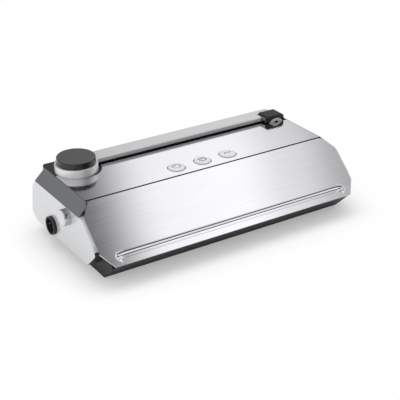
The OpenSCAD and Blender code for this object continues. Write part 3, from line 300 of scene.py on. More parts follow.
# %% [markdown]
# ## Satin metal paint, anodising and plain steel
# The end caps are moulded and sprayed with a fine silver lacquer: a bright satin with a soft
# clear shine. The chamfer trims are a mid grey and the knob's cap is dark. Pins, screws and
# brackets are plain zinc-plated steel. All of them share one fine even grain.

# %% Paints and plain metals
def satin(name, dark, pale, metallic, roughness, grain, coat=0.0):
    """A fine even grain, that many cells in a millimetre, varies colour, roughness and height."""
    made, tree = start_material(name)
    place = add(tree, "ShaderNodeTexCoord").outputs["Object"]
    in_grains = add(tree, "ShaderNodeMapping", inputs={
        "Vector": place, "Scale": [PER_METRE * grain] * 3})
    cloud = add(tree, "ShaderNodeTexNoise", inputs={
        "Vector": in_grains, "Scale": 1.0, "Detail": 4.0, "Roughness": 0.6})
    shade = add(tree, "ShaderNodeMapRange", inputs={"Value": cloud, **USUAL})
    uneven = add(tree, "ShaderNodeMapRange", inputs={
        "Value": cloud, **USUAL, "To Min": roughness - 0.03, "To Max": roughness + 0.03})
    end_material(tree, dark, pale, shade, cloud, 0.000004, 0.6, {
        "Metallic": metallic, "Roughness": uneven, "Coat Weight": coat, "Coat Roughness": 0.12})
    return made


# ABS sprayed with silver lacquer: an even pale sheen that mirrors nothing sharply
silver_paint = satin("abs_sprayed_silver", "#d2d3d6", "#dadbdd", 0.35, 0.28, 2.5, 0.3)
# Extruded aluminium, anodised graphite: a mid grey that sets the ends off from the steel
trim_paint = satin("aluminium_anodised_graphite", "#808184", "#8a8b8e", 0.85, 0.34, 2.0)
# Turned aluminium, anodised black: the knob's top is a dull dark disc
cap_anodised = satin("aluminium_anodised_black", "#565759", "#5f6062", 0.5, 0.4, 2.0)
# Polished black ABS: near black, with thin highlights round the knob. Painted shade: the knob's side is made much
# darker than its top
knob_side_painted_shade = satin("abs_gloss_black_painted_shade", "#1c1c1e", "#222224", 0.0, 0.18, 2.0)
# Cast zinc, satin chromed: nearly white, shaded softly round the curve
ring_satin = satin("zinc_satin_chrome", "#e2e3e4", "#e9eaea", 0.6, 0.36, 2.0)
# Extruded aluminium, blasted and anodised clear: light grey and calm beside the brushed plate
bar_aluminium = satin("aluminium_satin_anodised", "#cfd0d2", "#d8d9da", 0.45, 0.35, 1.5)
# Steel turned on a lathe: flashes of light and dark round the plug
turned_steel = satin("steel_turned_bright", "#bcbdbe", "#c8c9c9", 1.0, 0.18, 1.0)
# The sheared edge of sheet steel, dull, and painted dark: painted shade for the seams, a thin line round the plate
plate_edge_seam_shade = satin("stainless_steel_edge_painted_seam_shade", "#2b2c2e", "#333436", 0.3, 0.5, 1.5)
# Zinc-plated steel: grey with faintly cloudy patches
zinc_steel = satin("steel_zinc_plated", "#9b9c9c", "#b6b6b4", 1.0, 0.32, 0.8)
# Deep-drawn steel can, painted: dark and half matt
dark_steel = satin("steel_painted_dark", "#4a4b4d", "#555658", 0.4, 0.5, 0.8)
# Turned brass: the one warm metal among the greys inside
brass = satin("brass_turned", "#b8964e", "#ccab62", 1.0, 0.28, 0.8)
# Rolled nickel-chrome ribbon: a dull, slightly brown strip
heater = satin("nickel_chrome_ribbon", "#9a9288", "#b3aaa0", 1.0, 0.34, 1.0)
print("12 paints and plain metals")

# %% [markdown]
# ## Moulded plastic and rubber
# The casings are black ABS from a spark-eroded mould: a fine even grain about half a
# millimetre across that breaks up any reflection. Buttons are smoother and pale. Gaskets are
# closed-cell foam, with pores that show; feet are dense rubber.

# %% Plastics and rubbers
CLOUDS = 0.03                           # of them in a millimetre


def moulded(name, dark, pale, roughness, grain, depth, sheen=0.0):
    """The mould's grain varies roughness and height; slow clouds in the melt vary the colour."""
    made, tree = start_material(name)
    place = add(tree, "ShaderNodeTexCoord").outputs["Object"]
    in_grains = add(tree, "ShaderNodeMapping", inputs={
        "Vector": place, "Scale": [PER_METRE * grain] * 3})
    in_clouds = add(tree, "ShaderNodeMapping", inputs={
        "Vector": place, "Scale": [PER_METRE * CLOUDS] * 3})
    cell = add(tree, "ShaderNodeTexNoise", inputs={
        "Vector": in_grains, "Scale": 1.0, "Detail": 3.0, "Roughness": 0.55})
    cloud = add(tree, "ShaderNodeTexNoise", inputs={
        "Vector": in_clouds, "Scale": 1.0, "Detail": 2.0, "Roughness": 0.5})
    shade = add(tree, "ShaderNodeMapRange", inputs={"Value": cloud, **USUAL})
    uneven = add(tree, "ShaderNodeMapRange", inputs={
        "Value": cell, **USUAL, "To Min": roughness - 0.05, "To Max": roughness + 0.05})
    end_material(tree, dark, pale, shade, cell, depth, 0.8, {
        "Roughness": uneven, "Sheen Weight": sheen, "IOR": 1.5})
    return made


# ABS from a spark-eroded mould: fine grain, deep grey, no clear reflection
black_abs = moulded("abs_black_moulded", "#1d1d1f", "#242426", 0.48, 2.0, 0.00002)
# ABS from a smoother mould: pale caps with a soft highlight
button_abs = moulded("abs_pale_grey_moulded", "#d4d5d6", "#dcdddd", 0.32, 1.5, 0.000004)
# Dyed ABS: mid grey for the parts that air and juice run through
grey_abs = moulded("abs_grey_moulded", "#66696c", "#707376", 0.5, 1.5, 0.00001)
# Pressed rubber: black and quite matt
foot_rubber = moulded("rubber_black", "#161616", "#1d1d1d", 0.75, 1.2, 0.00003)
# Closed-cell neoprene: its pores make a rough dark face with a faint sheen
gasket_foam = moulded("neoprene_foam", "#2d2d2f", "#38383a", 0.9, 1.4, 0.00012, 0.2)
# Cast silicone: brick red and slightly waxy
silicone = moulded("silicone_red", "#7c2a20", "#8c3427", 0.6, 0.8, 0.00001)
# Extruded soft PVC: milky and half glossy
hose_pvc = moulded("pvc_clear_hose", "#b9bcbf", "#c8cbce", 0.35, 0.5, 0.00001)
# Pressed phenolic resin: brownish black with slow clouds
phenolic = moulded("phenolic_dark", "#2a2826", "#34312e", 0.6, 1.5, 0.00001)
# Ink printed with a soft pad: flat dark grey lines
symbol_ink = moulded("pad_print_grey", "#48494b", "#505153", 0.6, 1.0, 0.000002)
# Solder mask over woven glass: green with a clear shine
board_green = moulded("fibreglass_solder_mask", "#1d5a34", "#24663c", 0.4, 0.6, 0.00001)
print("10 plastics and rubbers")

# %% [markdown]
# ## Woven tape and copper winding
# The tape over the heating strip is glass cloth soaked in PTFE, with threads 0.5 mm apart that
# still show. The transformer's winding is enamelled copper wire laid in turns 0.8 mm apart. A
# wave texture has about three waves in each unit of its scale, hence 0.6 and 0.4 below.

# %% Weave and winding
def banded(name, dark, pale, metallic, roughness, bands, depth):
    """Waves along one or two directions, multiplied, as threads or wires show."""
    made, tree = start_material(name)
    place = add(tree, "ShaderNodeTexCoord").outputs["Object"]
    height = 1.0
    for per_mm, axis in bands:
        in_bands = add(tree, "ShaderNodeMapping", inputs={
            "Vector": place, "Scale": [PER_METRE * per_mm] * 3})
        wave = add(tree, "ShaderNodeTexWave", {"bands_direction": axis}, {
            "Vector": in_bands, "Scale": 1.0, "Distortion": 0.3}).outputs["Fac"]
        height = add(tree, "ShaderNodeMath", {"operation": "MULTIPLY"}, {0: height, 1: wave})
    end_material(tree, dark, pale, height, height, depth, 0.8, {
        "Metallic": metallic, "Roughness": roughness})
    return made


# Glass cloth soaked in PTFE: tan, with threads that show as a fine check
ptfe_cloth = banded("ptfe_glass_cloth", "#a2855a", "#bea077", 0.0, 0.35,
                    [(0.6, "X"), (0.6, "Y")], 0.00004)
# Enamelled copper wire in turns: dark red-brown ribs
copper_wire = banded("copper_enamelled_winding", "#6e3416", "#a85a2c", 0.8, 0.35,
                     [(0.4, "Z")], 0.0002)
# Silicon-steel sheets, stacked: fine grey stripes
laminations = banded("steel_laminations", "#3b3c3e", "#55565a", 0.7, 0.5, [(0.4, "Y")], 0.0001)
print("3 banded finishes")

# %% [markdown]
# ## Putting finished pieces in place
# Every new piece rides on the body of the node that it stands for. Machined and moulded edges
# are never razor sharp, so most visible parts are copies of their solid with the edges broken:
# the triangles are merged into flat faces, and each sharp edge gets a small round.

# %% Piece helpers
BODY_OF = {n: b for b, names in frame["record"]["behaviour"]["bodies"].items() for n in names}
MERGED = 0.002 * MM                     # corners nearer than this are the same corner
COPLANAR = math.radians(0.6)            # triangles that meet flatter than this are one face
SHARP = math.radians(28)                # and an edge that is sharper than this gets its round
ROUND_STEPS = 2


def finish_piece(piece, material, node, body=None):
    """Gives a piece its material and the body of the node that it stands for."""
    piece.data.materials.clear()
    piece.data.materials.append(material)
    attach(piece, body or BODY_OF[node])
    return piece


def mesh_piece(name, build):
    """An object whose mesh is what build holds."""
    mesh = bpy.data.meshes.new(name)
    build.to_mesh(mesh)
    build.free()
    mesh.shade_smooth()
    made = bpy.data.objects.new(name, mesh)
    bpy.context.scene.collection.objects.link(made)
    return made


def even_shading(piece):
    """Lets large faces decide the shading, so that flats stay flat beside their round edges."""
    piece.modifiers.new("even_shading", "WEIGHTED_NORMAL").weight = 60
    return piece


def softened(node, material, radius):
    """A copy of a node's solid with its edges rounded to radius in millimetres."""
    build = bmesh.new()
    build.from_mesh(NODES[node].data)
    bmesh.ops.remove_doubles(build, verts=build.verts, dist=MERGED)
    bmesh.ops.dissolve_limit(build, angle_limit=COPLANAR, verts=build.verts, edges=build.edges)
    sharp = [e for e in build.edges if e.is_manifold and e.calc_face_angle(0) > SHARP]
    bmesh.ops.bevel(build, geom=sharp, offset=radius * MM, segments=ROUND_STEPS, profile=0.5,
                    affect="EDGES", clamp_overlap=True, loop_slide=True)
    piece = even_shading(mesh_piece(node + "_finished", build))
    finish_piece(piece, material, node)
    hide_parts(node)
    return piece


def lathe(name, profile, centre, steps=96):
    """Turns (radius, height) points in millimetres round the upright axis through centre."""
    build = bmesh.new()
    rings = []
    for radius, height in profile:
        count = 1 if radius == 0 else steps
        rings.append([build.verts.new((radius * math.cos(2 * math.pi * k / steps) * MM,
                                       radius * math.sin(2 * math.pi * k / steps) * MM,
                                       height * MM)) for k in range(count)])
    for lower, upper in zip(rings, rings[1:]):
        for k in range(steps):
            quad = [lower[k % len(lower)], lower[(k + 1) % len(lower)],
                    upper[(k + 1) % len(upper)], upper[k % len(upper)]]
            build.faces.new(list(dict.fromkeys(quad)))    # at the axis, a triangle
    build.transform(Matrix.Translation(centre))
    bmesh.ops.recalc_face_normals(build, faces=build.faces)
    return even_shading(mesh_piece(name, build))


def painted(piece, material, chosen):
    """Gives a second finish to the faces that are chosen by their normal and centre."""
    piece.data.materials.append(material)
    faces = [f for f in piece.data.polygons if chosen(f.normal, f.center)]
    for face in faces:
        face.material_index = len(piece.data.materials) - 1
    return len(faces)


# %% [markdown]
# ## Parts that only need broken edges
# Sheet parts get a radius of a fifth of a millimetre, most mouldings 0.3 to 0.8 mm.

# %% Soften the edges of the visible solids
EDGES = [
    ("top_plate", plate_steel, 0.2), ("end_cap_left", silver_paint, 0.8),
    ("end_cap_right", silver_paint, 0.8), ("chamfer_trim_left", trim_paint, 0.3),
    ("chamfer_trim_right", trim_paint, 0.3), ("base_tray", black_abs, 0.5),
    ("upper_housing", black_abs, 0.4), ("working_deck", black_abs, 0.3),
    ("lever_bar", bar_aluminium, 0.35), ("lever_block", black_abs, 0.7),
    ("port_plug", silver_paint, 0.4), ("pivot_disc", ring_satin, 0.25),
    ("feet", foot_rubber, 0.4), ("lid_frame", black_abs, 0.3), ("drip_tray", grey_abs, 0.3),
    ("mains_inlet", black_abs, 0.3), ("sealing_bar", phenolic, 0.3),
    ("lower_gasket", gasket_foam, 0.8), ("upper_gasket", gasket_foam, 0.4),
    ("pressure_strip", silicone, 0.5), ("hinge_brackets", zinc_steel, 0.2),
    ("pump_head", phenolic, 0.5), ("transformer_coil", copper_wire, 1.5),
]
FINISHED = {}
for node, material, radius in EDGES:
    FINISHED[node] = softened(node, material, radius)
    print(node, len(FINISHED[node].data.polygons), "faces")

# %% [markdown]
# ## Second finishes
# Sheet steel is bright on its faces; its cut edges are painted dark, painted shade for the seams round the plate.
# The end caps are sprayed silver with their lower front rim painted black: painted shade for the shadow gap beside
# the lid.
# The port's plug is a bright turned ring with a silver face.

# %% Painted seam shade on the cut edges, painted shade on the caps' rims, and the plug's ring
SLOPE = math.radians(41)                # of the closed lid
LIP = Vector((FACE_X, -101.5 * MM, 30.5 * MM))   # lower edge of the lid, middle of its length
OUT = Vector((0, -math.sin(SLOPE), math.cos(SLOPE)))    # outwards from the lid
SHADE_BAND_Z = 44 * MM                        # the black band of painted shade ends at this height
SIDEWAYS = 0.6                          # a face with less of its normal than this along an axis
FORWARDS = -0.3                         # and one that looks to the front

# The plate's side faces get painted shade: dark, as the shadowed seams round the plate
print(painted(FINISHED["top_plate"], plate_edge_seam_shade, lambda n, c: abs(n.z) < SIDEWAYS), "cut faces")
print(painted(FINISHED["port_plug"], turned_steel, lambda n, c: abs(n.x) < SIDEWAYS), "ring faces")
for node in ("end_cap_left", "end_cap_right"):
    build = bmesh.new()
    build.from_mesh(FINISHED[node].data)
    bmesh.ops.bisect_plane(build, geom=build.verts[:] + build.edges[:] + build.faces[:],
                           plane_co=(0, 0, SHADE_BAND_Z), plane_no=(0, 0, 1))
    build.to_mesh(FINISHED[node].data)
    build.free()
    # Black plastic on the caps' lower front faces: painted shade for the shadow gap beside the lid
    count = painted(FINISHED[node], black_abs, lambda n, c: n.y < FORWARDS and c.z < SHADE_BAND_Z)
    print(node, count, "painted shade faces")

# %% [markdown]
# ## Parts whose solid is already right
# Round pins, hoses and most parts inside keep their solids and only get their finish.

# %% Finishes of the plain solids
PLAIN = {
    zinc_steel: ["base_screws", "hinge_pins", "inlet_pins", "pivot_bracket", "pivot_pin",
                 "latch_clip", "latch_stud", "knob_screws", "lever_core", "pump_shaft",
                 "pump_bracket"],
    dark_steel: ["pump_motor"], brass: ["pump_eccentric"], heater: ["heating_strip"],
    ptfe_cloth: ["ptfe_tape"], grey_abs: ["suction_nozzle", "vacuum_port"],
    board_green: ["control_board"], phenolic: ["board_parts", "tact_switches"],
    laminations: ["transformer_core"], hose_pvc: ["channel_hose", "port_hose"],
}
for material, names in PLAIN.items():
    for node in names:
        mesh = NODES[node].data
        mesh.materials.clear()
        mesh.materials.append(material)
print(sum(len(names) for names in PLAIN.values()), "plain solids finished")

# %% [markdown]
# ## The lid
# A real lid of this kind is one steel sheet: a long groove is pressed in near its lower edge to
# stiffen it, the edges are folded down, and the upper edge is rolled into the hinge. A flat
# sheet of faces comes first, fine where the groove will be. Geometry Nodes then do what the
# press does, with the groove's sizes as inputs, and fold the free edges.

# %% The flat sheet
# Across, from the middle, and up the slope from the lower edge, in millimetres
LID_CORNER = 183.0                      # half length at the lower edge,
LID_HALF, CORNER_UP = 196.6, 21.0       # from this height up,
TOP_CORNER_U = 72.3                     # and to this one
TOP_HALF, TANGENT_U = 183.9, 89.38      # half length where the sheet runs into its rolled edge
GROOVE_U, GROOVE_END = 12.0, 172.5      # the groove's centre line and the middle of its ends


def sheet_half(u):
    """Half of the sheet's length at u millimetres up the slope."""
    if u < CORNER_UP:
        return LID_CORNER + (LID_HALF - LID_CORNER) * u / CORNER_UP
    if u < TOP_CORNER_U:
        return LID_HALF
    return LID_HALF + (TOP_HALF - LID_HALF) * (u - TOP_CORNER_U) / (TANGENT_U - TOP_CORNER_U)


def steps_between(start, end, step):
    count = round((end - start) / step)
    return [start + (end - start) * k / count for k in range(count)]


# Rows are a quarter of a millimetre apart over the groove, columns 0.3 mm over its ends
rows = [0.0, 0.4, 2.0, 5.0, *steps_between(7.0, 17.0, 0.25), 17.0, 19.0, CORNER_UP, 21.6,
        40.0, 60.0, TOP_CORNER_U - 0.6, TOP_CORNER_U, TANGENT_U]
half = [*steps_between(0, 166, 6), *steps_between(166, 179, 0.3), 179, 182.5, LID_CORNER]
columns = [-x / LID_CORNER for x in half[:0:-1]] + [x / LID_CORNER for x in half]
points = [(sheet_half(u) * c * MM, u * MM, 0) for u in rows for c in columns]
wide = len(columns)
quads = [(r * wide + c, r * wide + c + 1, (r + 1) * wide + c + 1, (r + 1) * wide + c)
         for r in range(len(rows) - 1) for c in range(wide - 1)]
sheet_mesh = bpy.data.meshes.new("lid_sheet")
sheet_mesh.from_pydata(points, [], quads)
lid_sheet = bpy.data.objects.new("lid_sheet", sheet_mesh)
bpy.context.scene.collection.objects.link(lid_sheet)
print("sheet of", len(quads), "faces")

# %% [markdown]
# ## Pressing and folding with Geometry Nodes
# The distance of each point to the groove's centre line decides how deep it is pressed: the
# walls fall at an even slope to a set depth, and a smooth maximum and minimum round the bottom
# and the shoulders. Past the line's ends the same distance gives the groove its round ends.

# %% The press
def modifier_tree(name, inputs):
    """A Geometry Nodes tree with a geometry input and output and named number inputs."""
    made = bpy.data.node_groups.new(name, "GeometryNodeTree")
    made.interface.new_socket("Geometry", in_out="INPUT", socket_type="NodeSocketGeometry")
    for label in inputs:
        made.interface.new_socket(label, in_out="INPUT", socket_type="NodeSocketFloat")
    made.interface.new_socket("Geometry", in_out="OUTPUT", socket_type="NodeSocketGeometry")
    return made, add(made, "NodeGroupInput").outputs


def use_tree(piece, group, values):
    """Puts the tree on a piece as a modifier and sets its inputs by their identifiers."""
    modifier = piece.modifiers.new(group.name, "NODES")
    modifier.node_group = group
    for item in group.interface.items_tree:
        if item.in_out == "INPUT" and item.name in values:
            modifier[item.identifier] = values[item.name]


def baked(source, name):
    """The evaluated result as a plain mesh object, in place of the source."""
    bpy.context.view_layer.update()
    view = source.evaluated_get(bpy.context.evaluated_depsgraph_get())
    made = bpy.data.objects.new(name, bpy.data.meshes.new_from_object(view))
    bpy.context.scene.collection.objects.link(made)
    bpy.data.objects.remove(source)
    return made


press, given = modifier_tree("press_and_fold", [
    "Groove centre", "Groove half length", "Groove half width", "Wall slope", "Depth", "Shoulder",
    "Bottom round", "Fold"])
xyz = add(press, "ShaderNodeSeparateXYZ", inputs={
    0: add(press, "GeometryNodeInputPosition")}).outputs
across = add(press, "ShaderNodeMath", {"operation": "ABSOLUTE"}, {0: xyz["X"]})
beyond = add(press, "ShaderNodeMath", {"operation": "SUBTRACT"}, {
    0: across, 1: given["Groove half length"]})
past = add(press, "ShaderNodeMath", {"operation": "MAXIMUM"}, {0: beyond, 1: 0.0})
off = add(press, "ShaderNodeMath", {"operation": "SUBTRACT"}, {
    0: xyz["Y"], 1: given["Groove centre"]})
past_squared = add(press, "ShaderNodeMath", {"operation": "MULTIPLY"}, {0: past, 1: past})
off_squared = add(press, "ShaderNodeMath", {"operation": "MULTIPLY"}, {0: off, 1: off})
squared = add(press, "ShaderNodeMath", {"operation": "ADD"}, {0: past_squared, 1: off_squared})
reach = add(press, "ShaderNodeMath", {"operation": "SQRT"}, {0: squared})
inside = add(press, "ShaderNodeMath", {"operation": "SUBTRACT"}, {
    0: reach, 1: given["Groove half width"]})
wall = add(press, "ShaderNodeMath", {"operation": "MULTIPLY"}, {0: inside, 1: given["Wall slope"]})
floor_level = add(press, "ShaderNodeMath", {"operation": "MULTIPLY"}, {0: given["Depth"], 1: -1.0})
bottom = add(press, "ShaderNodeMath", {"operation": "SMOOTH_MAX"}, {
    0: wall, 1: floor_level, 2: given["Bottom round"]})
depth = add(press, "ShaderNodeMath", {"operation": "SMOOTH_MIN"}, {
    0: bottom, 1: 0.0, 2: given["Shoulder"]})
pressed = add(press, "GeometryNodeSetPosition", inputs={
    "Geometry": given["Geometry"], "Offset": add(press, "ShaderNodeCombineXYZ", inputs={"Z": depth})})
free = add(press, "FunctionNodeCompare", {"data_type": "INT", "operation": "EQUAL"}, {
    2: add(press, "GeometryNodeInputMeshEdgeNeighbors"), 3: 1})
down = add(press, "ShaderNodeMath", {"operation": "MULTIPLY"}, {0: given["Fold"], 1: -1.0})
folded = add(press, "GeometryNodeExtrudeMesh", {"mode": "EDGES"}, {
    "Mesh": pressed, "Selection": free, "Offset Scale": 1.0,
    "Offset": add(press, "ShaderNodeCombineXYZ", inputs={"Z": down})})
real = add(press, "GeometryNodeRealizeInstances", inputs={0: folded})
steel = add(press, "GeometryNodeSetMaterial", inputs={"Geometry": real, "Material": lid_steel})
add(press, "NodeGroupOutput", inputs={0: steel})
use_tree(lid_sheet, press, {
    "Groove centre": GROOVE_U * MM, "Groove half length": GROOVE_END * MM,
    "Groove half width": 4.2 * MM, "Wall slope": 1.0, "Depth": 2.6 * MM, "Shoulder": 2.4 * MM,
    "Bottom round": 1.6 * MM, "Fold": 2.0 * MM})
lid_sheet = baked(lid_sheet, "lid_sheet_pressed")
print("pressed sheet has", len(lid_sheet.data.polygons), "faces")

# %% [markdown]
# ## The rolled edge and the lid as one piece
# The sheet is stood up on its slope, given its thickness, and joined to the rolled edge: a long
# tube round the hinge's axis that the sheet runs into without a step.

# %% Thickness, slope and rolled edge
SKIN_T = 1.1                            # thickness of the sheet
BARREL_R, BARREL_HALF, BARREL_SIDES = 3.5, 180.0, 48    # radius, half length, sides of the tube
HINGE = Vector(next(j for j in frame["joints"] if j["name"] == "lid_hinge")["pos_m"])

build = bmesh.new()
build.from_mesh(lid_sheet.data)
bmesh.ops.remove_doubles(build, verts=build.verts, dist=0.001 * MM)
bmesh.ops.recalc_face_normals(build, faces=build.faces)
if sum(f.normal.z for f in build.faces) < 0:
    bmesh.ops.reverse_faces(build, faces=build.faces)
bmesh.ops.solidify(build, geom=build.faces[:], thickness=SKIN_T * MM)
build.transform(Matrix.Translation(LIP) @ Matrix.Rotation(SLOPE, 4, "X"))
bpy.data.objects.remove(lid_sheet)
angles = [2 * math.pi * k / BARREL_SIDES for k in range(BARREL_SIDES)]
left, right = [[build.verts.new((FACE_X + x * MM, HINGE.y + BARREL_R * MM * math.cos(a),
                                 HINGE.z + BARREL_R * MM * math.sin(a))) for a in angles]
               for x in (-BARREL_HALF, BARREL_HALF)]
for k in range(BARREL_SIDES):
    after = (k + 1) % BARREL_SIDES
    build.faces.new((left[k], left[after], right[after], right[k]))
build.faces.new(left[::-1])
build.faces.new(right)
lid_skin = mesh_piece("lid_skin_pressed", build)
lid_skin.data.set_sharp_from_angle(angle=math.radians(35))
finish_piece(lid_skin, lid_steel, "lid_skin")
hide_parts("lid_skin")
print("lid skin has", len(lid_skin.data.polygons), "faces")

# %% [markdown]
# ## The knob
# The knob is two turned parts: a pale satin ring and a dark cap above it with a fine chamfer
# round its upper edge. A turned part is a half section swept round its axis, so each is a list
# of radii and heights.

# %% Ring and cap
ring_low, ring_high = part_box("knob_ring")
KNOB = Vector(((ring_low.x + ring_high.x) / 2, (ring_low.y + ring_high.y) / 2, 0))
RING_R = (ring_high.x - ring_low.x) / 2 / MM
cap_low, cap_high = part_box("knob_cap")
CAP_R = (cap_high.x - cap_low.x) / 2 / MM
ring_z0, ring_z1, cap_z1 = ring_low.z / MM, ring_high.z / MM, cap_high.z / MM

ring_profile = [(0, ring_z0), (RING_R - 0.9, ring_z0), (RING_R - 0.35, ring_z0 + 0.15),
                (RING_R, ring_z0 + 0.6), (RING_R, ring_z1 - 0.8), (RING_R - 0.25, ring_z1 - 0.2),
                (RING_R - 0.8, ring_z1), (CAP_R - 0.6, ring_z1), (CAP_R - 0.6, ring_z1 - 0.5),
                (0, ring_z1 - 0.5)]
cap_profile = [(0, ring_z1 - 0.4), (CAP_R - 0.3, ring_z1 - 0.4), (CAP_R - 0.3, ring_z1 + 0.3),
               (CAP_R, ring_z1 + 0.6), (CAP_R, cap_z1 - 1.6), (CAP_R - 0.3, cap_z1 - 0.9),
               (CAP_R - 1.0, cap_z1 - 0.25), (CAP_R - 1.9, cap_z1), (CAP_R - 2.4, cap_z1 - 0.12),
               (0, cap_z1 - 0.12)]
ring = finish_piece(lathe("knob_ring_turned", ring_profile, KNOB), ring_satin, "knob_ring")
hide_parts("knob_ring")
cap = finish_piece(lathe("knob_cap_turned", cap_profile, KNOB), cap_anodised, "knob_cap")
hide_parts("knob_cap")
faces = painted(cap, knob_side_painted_shade, lambda n, c: n.z < 0.5)    # all but the flat top and its edge: painted shade, the side darker than the top
print(f"ring radius {RING_R:.1f} mm, cap radius {CAP_R:.1f} mm, {faces} side faces")

# %% [markdown]
# ## The buttons and their symbols
# Each button is a round cap with a full shoulder and a slightly dished top, on a flange that
# the plate holds down and a stem that goes into its spring. The symbols are pad-printed lines:
# power, a bag being emptied, and a seam being closed. A curve follows each line, and a small
# Geometry Nodes tree gives it a printed line's width and lays it on the dish.

# %% Button caps
BUTTONS = ["button_power", "button_vacuum", "button_seal"]
STEM_R, STEM_LENGTH = 2.5, 3.0
FLANGE_WIDTH, FLANGE_T = 1.8, 1.5


def button_profile(low, top, flange):
    """Half section in millimetres, from the stem's foot to the middle of the dished top."""
    shoulder, radius = low + STEM_LENGTH, flange - FLANGE_WIDTH
    return [(0, low), (STEM_R, low), (STEM_R, shoulder), (flange, shoulder),
            (flange, shoulder + FLANGE_T), (radius, shoulder + FLANGE_T), (radius, top - 2.2),
            (radius - 0.12, top - 1.7), (radius - 0.5, top - 1.15), (radius - 1.2, top - 0.65),
            (radius - 2.1, top - 0.28), (radius - 3.1, top - 0.07), (radius - 4.1, top),
            (radius - 5.0, top - 0.04), (radius - 6.2, top - 0.16), (0, top - 0.22)]


tops = {}
for node in BUTTONS:
    low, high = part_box(node)
    centre = Vector(((low.x + high.x) / 2, (low.y + high.y) / 2, 0))
    tops[node] = (centre.x, centre.y, high.z)
    profile = button_profile(low.z / MM, high.z / MM, (high.x - low.x) / 2 / MM)
    cap = finish_piece(lathe(node + "_cap", profile, centre, steps=72), button_abs, node)
    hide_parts(node)
    print(node, "at", [round(c / MM, 1) for c in centre[:2]])

# %% Symbols as curves
def arc(centre, radius, start, end, count=16):
    """Points of an arc in degrees, counted from +X."""
    angles = [math.radians(start + (end - start) * k / count) for k in range(count + 1)]
    return [(centre[0] + radius * math.cos(a), centre[1] + radius * math.sin(a)) for a in angles]


# Millimetres from the middle of the button
SYMBOLS = {
    "button_power": [arc((0, -0.6), 5.6, 120, 420), [(0, 1.6), (0, 6.2)]],
    "button_vacuum": [arc((0, 2.0), 6.2, 188, 352), [(-6.6, 1.8), (6.6, 1.8)],
                      [(-3.2, 3.6), (-3.2, 6.0)], [(0, 3.6), (0, 6.0)], [(3.2, 3.6), (3.2, 6.0)]],
    "button_seal": [[(-5.4, -1.4), (-3.6, 2.2), (-1.8, -1.4), (0, 2.2), (1.8, -1.4), (3.6, 2.2),
                     (5.4, -1.4)], [(-7.6, 0.3), (-7.1, 0.3)], [(7.1, 0.3), (7.6, 0.3)]],
}
LINE_R = 0.75                           # half a printed line's width, in millimetres
LINE_FLATNESS = 0.1                     # its thickness as a share of its width
LINE_Z = -0.16                          # and its middle, from the button's highest point

printing, given = modifier_tree("printed_line", ["Line radius", "Flatness", "Height"])
outline = add(printing, "GeometryNodeCurvePrimitiveCircle", inputs={
    "Resolution": 8, "Radius": given["Line radius"]})
tube = add(printing, "GeometryNodeCurveToMesh", inputs={
    "Curve": given["Geometry"], "Profile Curve": outline, "Fill Caps": True})
spot = add(printing, "ShaderNodeSeparateXYZ", inputs={
    0: add(printing, "GeometryNodeInputPosition")}).outputs
thin = add(printing, "ShaderNodeMath", {"operation": "MULTIPLY"}, {
    0: spot["Z"], 1: given["Flatness"]})
low = add(printing, "ShaderNodeMath", {"operation": "ADD"}, {0: thin, 1: given["Height"]})
laid = add(printing, "GeometryNodeSetPosition", inputs={
    "Geometry": tube,
    "Position": add(printing, "ShaderNodeCombineXYZ", inputs={
        "X": spot["X"], "Y": spot["Y"], "Z": low})})
real = add(printing, "GeometryNodeRealizeInstances", inputs={0: laid})
inked = add(printing, "GeometryNodeSetMaterial", inputs={"Geometry": real, "Material": symbol_ink})
add(printing, "NodeGroupOutput", inputs={0: inked})
print("symbols for", len(SYMBOLS), "buttons")

# %% Print the symbols
for node, lines in SYMBOLS.items():
    curve = bpy.data.curves.new(node + "_lines", "CURVE")
    curve.dimensions = "3D"
    for line in lines:
        spline = curve.splines.new("POLY")
        spline.points.add(len(line) - 1)
        for point, (x, y) in zip(spline.points, line):
            point.co = (x * MM, y * MM, 0, 1)
    source = bpy.data.objects.new(node + "_lines", curve)
    bpy.context.scene.collection.objects.link(source)
    use_tree(source, printing, {
        "Line radius": LINE_R * MM, "Flatness": LINE_FLATNESS, "Height": LINE_Z * MM})
    symbol = baked(source, node + "_symbol")
    symbol.data.transform(Matrix.Translation(tops[node]))
    finish_piece(symbol, symbol_ink, node)
    print(node, "symbol has", len(symbol.data.polygons), "faces")

# %% [markdown]
# ## Button springs
# Each button stands on a small coil spring. A rigid coil can't shorten, so it comes in two
# halves: the lower one stays on the board, and the upper one sinks with its button into the
# gaps between the lower one's turns.

# %% Wind the springs
COIL_R, WIRE_R, HALF_TURNS = 4.0, 0.25, 1.5     # millimetres, and turns in each half

winding, given = modifier_tree("coil", ["Coil radius", "Wire radius", "Height", "Turns"])
helix = add(winding, "GeometryNodeCurveSpiral", inputs={
    "Resolution": 24, "Rotations": given["Turns"], "Start Radius": given["Coil radius"],
    "End Radius": given["Coil radius"], "Height": given["Height"]})
section = add(winding, "GeometryNodeCurvePrimitiveCircle", inputs={
    "Resolution": 10, "Radius": given["Wire radius"]})
wound = add(winding, "GeometryNodeCurveToMesh", inputs={
    "Curve": helix, "Profile Curve": section, "Fill Caps": True})
real = add(winding, "GeometryNodeRealizeInstances", inputs={0: wound})
wire = add(winding, "GeometryNodeSetMaterial", inputs={"Geometry": real, "Material": zinc_steel})
add(winding, "NodeGroupOutput", inputs={0: wire})

